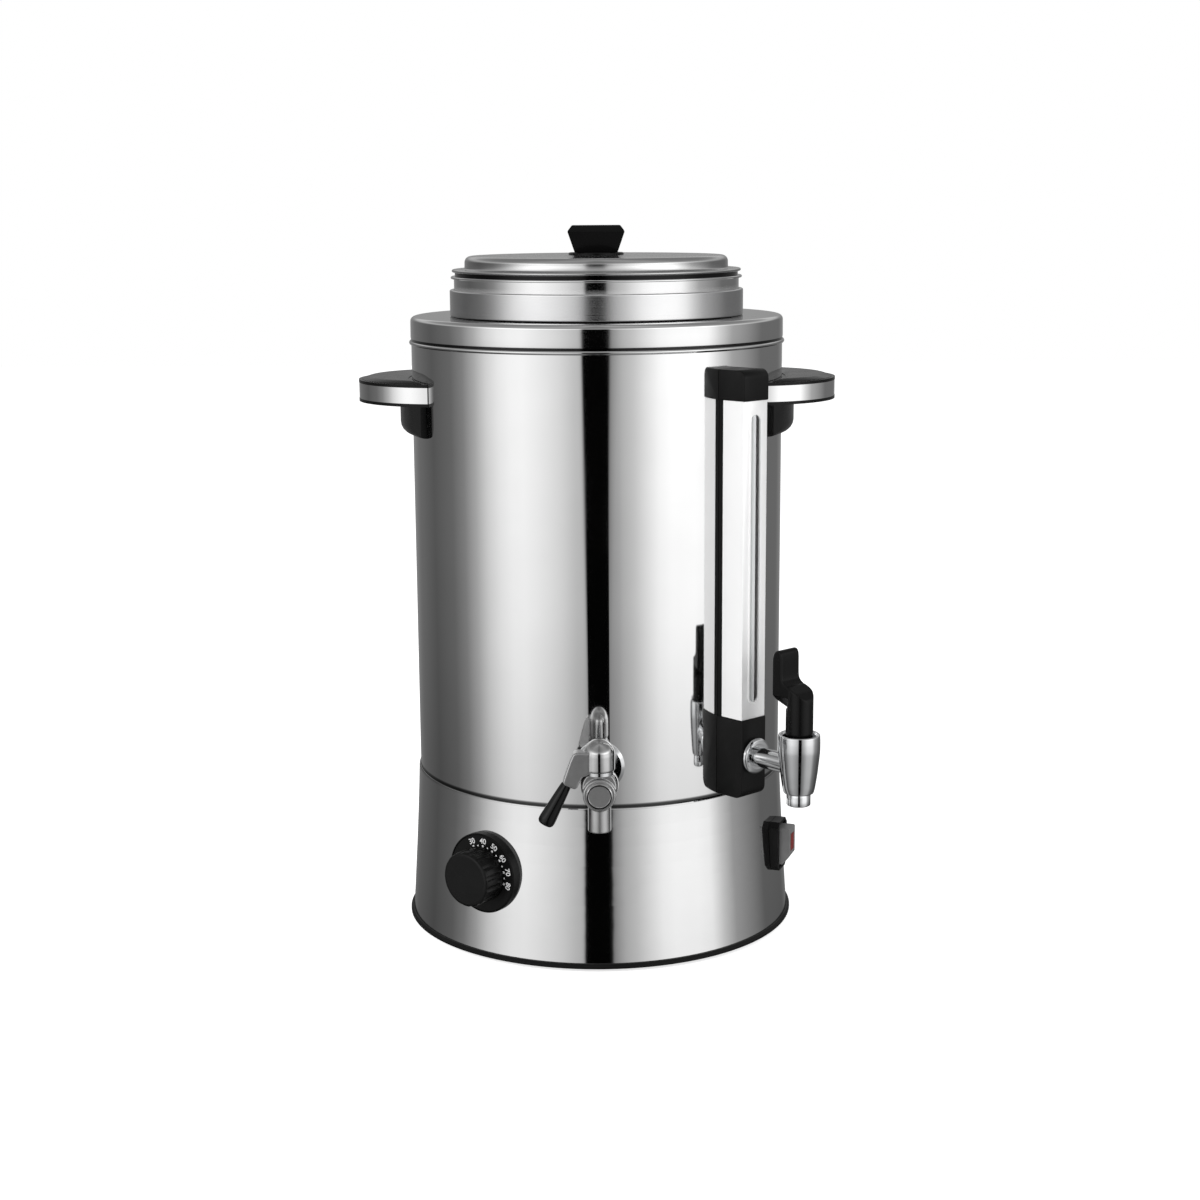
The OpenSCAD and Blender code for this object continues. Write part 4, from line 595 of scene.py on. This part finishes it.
def softened(node, body, slot, width, segments=3, look=None):
    """A copy of a piece of the frame with its hard edges rounded."""
    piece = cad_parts[node].copy()
    piece.data = piece.data.copy()
    bpy.context.collection.objects.link(piece)
    pick(piece)
    if piece.data.has_custom_normals:
        bpy.ops.mesh.customdata_custom_splitnormals_clear()
    bpy.ops.object.mode_set(mode="EDIT")
    bpy.ops.mesh.select_all(action="SELECT")
    bpy.ops.mesh.remove_doubles(threshold=0.002 * mm)
    bpy.ops.mesh.dissolve_limited(angle_limit=math.radians(0.4))
    bpy.ops.object.mode_set(mode="OBJECT")
    rounded(piece, width, segments)
    done(piece, node + "_rounded", body, slot, node, look=look, smooth=80)
    apply_modifier(piece, "WEIGHTED_NORMAL", keep_sharp=False, weight=80)
    return piece


# Lid: a spun dish with a rolled edge and a deep step that drops inside the neck
lid_top, lid_wall = 548.7, 1.2
roll_r, roll_z = 115.2, 536.4
step_r, step_foot = 112.9, 522.0
lid = turned(
    [(0, lid_top), (50, lid_top - 0.1), (75, lid_top - 0.3), (92, lid_top - 0.7)]
    + arc(101.0, lid_top - 5.8, 5.0, 84, 5, 12)
    + [(106.1, 538.9), (106.4, 538.2), (107.2, 537.75), (108.4, 537.6), (roll_r, roll_z + 1.1)]
    + arc(roll_r, roll_z, 1.15, 80, -80, 6)
    + [(step_r + 1.1, roll_z - 1.2), (step_r + 1, 532.0), (step_r, 532.0), (step_r, step_foot + 0.6),
       (step_r - 0.5, step_foot), (112.0, step_foot), (step_r - lid_wall, step_foot + 0.6),
       (step_r - lid_wall, roll_z - 1), (107.0, 536.6), (105.2, 538.0)]
    + arc(100.6, lid_top - 6.1, 4.2, 5, 84, 8)
    + [(75, lid_top - 1.5), (0, lid_top - lid_wall)], 192)
done(lid, "spun_lid", "lid", "satin_steel", "lid_shell", look="lid_steel")

# Top cover: rounded shoulder, straight side, and a rolled hem over the shell
cover_r, shoulder_r, cover_wall = 150.4, 3.7, 1.2
hole_r, hem_z, hem_round = 115.1, 480.0, 1.6
cover = turned(
    [(hole_r, cover_top), (135, cover_top + 0.05)]
    + arc(cover_r - shoulder_r, cover_top - 3.6, shoulder_r, 90, 0, 10)
    + [(cover_r + 0.1, 484.4), (cover_r, 483.5), (150.2, 483.3), (150.15, hem_z + hem_round)]
    + arc(150.1, hem_z, hem_round, 80, -75, 8)
    + [(150.2, 478.3), (150.15, 478.6), (149.3, 479.5), (149.3, 496.5)]
    + arc(cover_r - shoulder_r, 496.7, shoulder_r - cover_wall, 0, 90, 6)
    + [(hole_r, cover_top - cover_wall), (hole_r, cover_top)], 256)
done(cover, "pressed_top_cover", "heater", "satin_steel", "top_cover", look="cover_steel")

# Water tap: barrel with an open mouth, its pipe, nozzle and flange
barrel_top, barrel_foot, nozzle_end, pipe_z = 192.0, 145.5, 136.0, 166.0
bore_r, seat_z, chamber_r = 7, 149.5, 9.5
mouth_r, mouth_floor, floor_t = 13, 173.5, 2.5
barrel_side = curved([
    (11.8, 147.1), (12.6, 150.5), (13.4, 155.5), (14.2, 161), (14.95, 167.5), (15.6, 173.5),
    (15.95, 177.5), (16.1, 181), (16.1, 186), (15.95, 190.1)], 5)
barrel = turned(
    [(bore_r, seat_z), (bore_r, barrel_foot), (9.9, barrel_foot)]
    + arc(10.2, barrel_foot + 1.5, 1.5, -90, -10, 5) + barrel_side
    + arc(14.85, barrel_top - 1.1, 1.1, 10, 170, 8)
    + [(mouth_r, 190.2), (mouth_r, mouth_floor), (0, mouth_floor), (0, mouth_floor - floor_t),
       (chamber_r, mouth_floor - floor_t), (chamber_r, seat_z), (bore_r, seat_z)], 96)
upright(barrel, gauge_az, water_tap_r)
pipe_r, pipe_bore_r, pipe_length = 7.85, 4.1, 36
pipe = turned(
    curved([(8.6, 0), (8.1, 3), (pipe_r, 7), (pipe_r, 20), (pipe_r, pipe_length)], 4)
    + [(pipe_bore_r, pipe_length), (pipe_bore_r, 0), (8.6, 0)], 96)
outwards(pipe, gauge_az, block_out_r, pipe_z)
done(barrel, "water_tap_barrel", "heater", "chrome_plate", "water_tap_body")
done(pipe, "water_tap_pipe", "heater", "chrome_plate", "water_tap_body")
nozzle_bore_r, nozzle_r = 6, 9.2
nozzle = turned(
    [(nozzle_bore_r, nozzle_end + 0.6), (6.5, nozzle_end), (8.4, nozzle_end)]
    + arc(nozzle_r - 1, nozzle_end + 1, 1, -90, 0, 5)
    + [(nozzle_r, 144.1), (8.8, 144.9), (8.8, barrel_foot), (bore_r, barrel_foot), (bore_r, seat_z),
       (nozzle_bore_r, seat_z), (nozzle_bore_r, nozzle_end + 0.6)], 96)
upright(nozzle, gauge_az, water_tap_r)
done(nozzle, "water_tap_spout", "heater", "chrome_plate", "water_tap_nozzle")
flange_hole_r, flange_t = 7.95, 5
flange = turned(
    [(flange_hole_r, 0), (12.2, 0), (14.2, 2)] + arc(11.9, 2.2, 2.45, 5, 62, 6)
    + curved([(12.6, 4.7), (10.5, flange_t), (9.3, flange_t), (8.6, flange_t)], 3)
    + [(flange_hole_r, flange_t), (flange_hole_r, 0)], 96)
outwards(flange, gauge_az, block_out_r, pipe_z)
done(flange, "water_tap_escutcheon", "heater", "chrome_plate", "water_tap_flange")

# Water tap lever: round neck, S-bend and flat paddle, moulded in one
lever_pin_z, neck_r, neck_top = 187.5, 10.5, 211
paddle_w, paddle_middle_z, paddle_half_w, paddle_taper = 20.5, 220, 9.4, (11, 3.6)
paddle = slab(curved([
    (-1, 210), (-10.4, 208.2), (-12.4, 210.2), (-17.8, 216), (-19, 220), (-19, 233), (-19, 246),
    (-18.5, 251), (-16.4, 254.8), (-13.5, 255.8), (-11.3, 254.8), (-10, 251), (-9.8, 241),
    (-9.5, 234.7), (-7.5, 231.2), (-1, 227.3)], 4), paddle_w)
rounded(paddle, 3, 5, 50)
for side in (-1, 1):
    cut_flat(paddle, (0, side * paddle_half_w, paddle_middle_z),
             (0, side * paddle_taper[0], -paddle_taper[1]))
bend = slab([(-4, 209), (11, 209), (11, 216), (9.6, 220.4), (4.5, 225), (-4, 229.4)], 22)
keep_inside(bend, turned([(0, 202), (neck_r, 202), (neck_r, 240), (0, 240)], 64))
for piece in (paddle, bend):
    put(piece, edge_on)
neck = turned([
    (0, lever_pin_z - 9), (5, lever_pin_z - 7.5), (9, lever_pin_z - 1), (neck_r, lever_pin_z + 4),
    (neck_r, neck_top), (9, neck_top + 2), (0, neck_top + 2)], 64)
lever = cast([neck, paddle, bend], 0.42, 7)
upright(lever, gauge_az, water_tap_r)
done(lever, "paddle_lever", "water_lever", "black_bakelite", "water_lever", smooth=60)

# Milk tap: round-shouldered body cast with its spout and its cone to the front cap
cap_z, tail_z, tail_from_r = 157.5, 164, 129
ball_z, ball_r, body_top, front_face = 163, 14.5, 171.9, 7.5
spout_bore_r, spout_r, spout_end = 5.5, 8.7, 127.5
tail_bore_r = 4.5
body = turned([(0, 148)] + arc(0, ball_z, ball_r, -75, 36, 16) + [(11.3, body_top), (0, body_top)], 96)
spout = turned([
    (spout_bore_r, spout_end + 0.2), (8.1, spout_end), (spout_r, spout_end + 0.7), (spout_r, 150),
    (9.6, 153), (9.6, 160), (spout_bore_r, 160), (spout_bore_r, spout_end + 0.2)], 96)
for piece in (body, spout):
    upright(piece, 0, milk_tap_r)
cut_flat(body, (0, -milk_tap_r - front_face, 0), (0, -1, 0))
cone = turned([(0, -6), (12.6, -6), (12.5, 4), (12.3, 9.6), (11.6, 10.4), (0, 10.4)], 96)
outwards(cone, 0, milk_tap_r, cap_z)
tail = turned([
    (tail_bore_r, 0), (8, 0), (8, 52), (9.2, 56), (9.2, 62), (tail_bore_r, 62), (tail_bore_r, 0)], 96)
outwards(tail, 0, tail_from_r, tail_z)
tap_body = cast([body, spout, cone], 0.36, 3)
done(tap_body, "milk_tap_casting", "heater", "chrome_plate", "milk_tap_body", look="tap_chrome", smooth=60)
done(tail, "milk_tap_tail", "heater", "chrome_plate", "milk_tap_body")

# Its lever: a bell over the plug and a flat arm that drops to the grip
bell_r, bell_z, arm_t, arm_forward = 11.8, 186.8, 12, 3.5
bell = turned([(0, 174.95), (bell_r - 0.4, 174.95), (bell_r, 175.5)] + arc(0, bell_z, bell_r, 0, 84, 14)
              + [(0, bell_z + bell_r)], 96)
arm = slab([
    (-5, 175.2), (-5, 189.6), (-17.2, 190.2), (-19.4, 189.0), (-21.8, 183.6), (-26.3, 170.6),
    (-27.2, 167.4), (-26.2, 165.4), (-18.4, 162.0), (-16.6, 163.0), (-13.9, 168.5), (-12.2, 171.5),
    (-9, 172.6), (-5, 175.2)], arm_t)
rounded(arm, 1.2, 2)
upright(bell, 0, milk_tap_r)
upright(arm, 0, milk_tap_r + arm_forward)
hub = cast([bell, arm], 0.36, 8)
done(hub, "milk_tap_bell_and_arm", "milk_lever", "cast_chrome", "milk_lever_arm", look="lever_chrome",
     smooth=60)

# Black grip: a smooth tapered sleeve
sleeve_lean, sleeve_length, sleeve_bore_r, sleeve_bore_end = 28.3, 35.2, 2.6, 20
sleeve_from, sleeve_gap = (-23.4, -milk_tap_r, 165.8), 2.2
grip = turned(
    [(sleeve_bore_r, 0.1), (3.4, 0)]
    + curved([(3.9, 0.5), (4.5, 6), (5.3, 16), (6.1, 26), (6.4, 31), (6.1, 33.6)], 5)
    + [(5.2, sleeve_length - 0.4), (3, sleeve_length), (0, sleeve_length), (0, sleeve_bore_end),
       (sleeve_bore_r, sleeve_bore_end), (sleeve_bore_r, 0.1)], 64)
sleeve_turn = Matrix.Rotation(math.radians(180 + sleeve_lean), 4, "Y")
put(grip, sleeve_turn, Vector(sleeve_from) + sleeve_turn @ Vector((0, 0, sleeve_gap)))
done(grip, "grip_sleeve", "milk_lever", "black_bakelite", "milk_lever_sleeve", look="black_gloss")

# Trim ring: a black moulding with a low lip, so the skirt shows above it
ring_in_r, ring_out_r, ring_foot, lip_z = 139, 161, 3, 6.6
trim_ring = turned([
    (ring_in_r, ring_foot), (ring_out_r, ring_foot), (ring_out_r, 4.3), (ring_out_r - 1, 5.9),
    (159.5, lip_z), (158.5, lip_z), (158.5, 6), (ring_in_r, 6), (ring_in_r, ring_foot)], 256)
done(trim_ring, "moulded_trim_ring", "heater", "black_plastic", "base_ring")

# Handle caps: a low half-moon plateau with a wide soft slope, cut back clear of the shell
handle_r, handle_centre, handle_top, plateau = 72.5, 121.0, 450.5, 2.5


def moon_cap(name, node, azimuth):
    cap = turned([
        (0, -0.2), (handle_r - 2.6, -0.2), (handle_r - 2.6, 0.2), (handle_r - 3.2, 0.5),
        (handle_r - 8, 2.1), (handle_r - 9.5, 2.45), (handle_r - 11, plateau), (0, plateau)], 160)
    upright(cap, azimuth, handle_centre, handle_top)
    cut_away(cap, turned([
        (0, 440), (shell_r + 3, 440), (shell_r + 3, 451), (shell_r + 8, 453.1), (shell_r + 8, 460),
        (0, 460)], 256))
    done(cap, name, "heater", "black_bakelite", node, smooth=35)


for side, azimuth in (("left", -90), ("right", 90)):
    softened(side + "_handle", "heater", "black_bakelite", 0.9)
    moon_cap(side + "_handle_cap_moulding", side + "_handle_cap", azimuth)

# Gauge: a steel channel with a round-ended slot, between two black mouldings
slot_r, slot_low, slot_high, slot_depth, channel_r = 5.2, 208.5, 431.5, 10, 176
channel_foot, channel_head = 195.5, 442.0
channel = softened("gauge_cover", "heater", "satin_steel", 0.35, 2, look="gauge_steel")
slot = slab(arc(0, slot_high - slot_r, slot_r, 0, 180, 16) + arc(0, slot_low + slot_r, slot_r, 180, 360, 16)
            + [(slot_r, slot_high - slot_r)], slot_depth)
cut_away(channel, upright(slot, gauge_az, channel_r))
# Once more, because the slot's edges are new
done(channel, "gauge_cover_rounded", "heater", "satin_steel", "gauge_cover", look="gauge_steel")


def gauge_end(name, node, outline, width=27):
    """A black moulding as wide as the gauge, hollowed at the back to hug the shell."""
    end = slab(outline, width)
    rounded(end, 0.9, 3, 60)
    put(end, facing(gauge_az) @ edge_on)
    hug_r = shell_r + 0.2
    cut_away(end, turned([(0, 100), (hug_r, 100), (hug_r, 480), (0, 480)], 256))
    done(end, name, "heater", "black_plastic", node, smooth=40)


end_back, cap_top, cap_round, block_foot, block_round = 140, 465.2, 6.5, 132.5, 7.5
gauge_end("gauge_cap_moulding", "gauge_top_cap",
          [(end_back, channel_head), (end_back, cap_top), (168.5, cap_top)]
          + arc(block_out_r - cap_round, cap_top - 6.3, cap_round, 85, 0, 8)
          + [(block_out_r, channel_head)])
gauge_end("gauge_block_moulding", "gauge_lower_block",
          [(end_back, channel_foot), (end_back, block_foot)]
          + arc(block_out_r - block_round, block_foot + block_round, block_round, -90, 0, 8)
          + [(block_out_r, channel_foot)])

# Gauge tube, standing close behind the slot
tube_stands_r, tube_bore_r, tube_r, tube_foot, tube_head = 172.4, 1.6, 2.8, 185, 452
tube = turned([(tube_bore_r, tube_foot), (tube_r, tube_foot), (tube_r, tube_head), (tube_bore_r, tube_head),
               (tube_bore_r, tube_foot)], 48)
upright(tube, gauge_az, tube_stands_r)
done(tube, "gauge_tube", "heater", "clear_glass", "gauge_glass")

# Lid knob, dial and switch: their own shapes with rounded edges. The dial plate is a little smaller
# across and the knob a little larger, sized on the dial's middle with the dial turned to the front.
plate_share, knob_share = 0.965, 1.07
softened("lid_knob", "lid", "black_bakelite", 0.7)
for piece, share in ((softened("dial_plate", "heater", "black_plastic", 0.5), plate_share),
                     (softened("dial_knob", "dial", "black_gloss_plastic", 0.8), knob_share)):
    put(piece, facing(-dial_az))
    put(piece, Matrix.Diagonal((share, 1, share, 1)), (0, 0, dial_z * (1 - share)))
    put(piece, facing(dial_az))
softened("switch_frame", "heater", "black_plastic", 0.5, 2)
softened("switch_rocker", "rocker", "grey_plastic", 0.8)

# Dial scale: raised white numbers and dots round the knob
first_number, number_step, numbers = 30, 10, 6
first_angle, step_angle = -22.0, 25.0
number_r, number_high, number_bold, dot_r, large_dot, small_dot = 26.2, 6.2, 0.1, 22.2, 1.0, 0.7
ink_t = 0.05


def on_dial(angle, r):
    """A place on the dial's face, by angle clockwise from the top and distance from its middle."""
    across = r * math.sin(math.radians(angle))
    up = r * math.cos(math.radians(angle))
    return facing(dial_az) @ Vector((across, -(dial_face_r + 0.02), dial_z + up))


def printed(name, mark, turn, spot):
    """Gives a printed mark its name and ink and lays it on the dial's face."""
    mark.name = name
    put(mark, facing(dial_az) @ lying @ turn, spot)
    mark.data.materials.clear()
    mark.data.materials.append(finish["white_ink"])
    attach(mark, "heater")


for i in range(numbers):
    number = first_number + number_step * i
    angle = first_angle + i * step_angle
    bpy.ops.object.select_all(action="DESELECT")
    bpy.ops.object.text_add(location=(0, 0, 0))
    letters = bpy.context.object.data
    letters.body = str(number)
    letters.size = number_high * mm
    letters.align_x = letters.align_y = "CENTER"
    letters.extrude = ink_t * mm
    letters.offset = number_bold * mm
    bpy.ops.object.convert(target="MESH")
    printed("dial_number_%d" % number, bpy.context.object, facing(-angle), on_dial(angle, number_r))
for i in range(2 * numbers - 1):
    size = large_dot if i % 2 == 0 else small_dot
    dot = turned([(0, -ink_t), (size, -ink_t), (size, ink_t), (0, ink_t)], 24)
    printed("dial_dot_%d" % (i + 1), dot, Matrix(), on_dial(first_angle + i * step_angle / 2, dot_r))
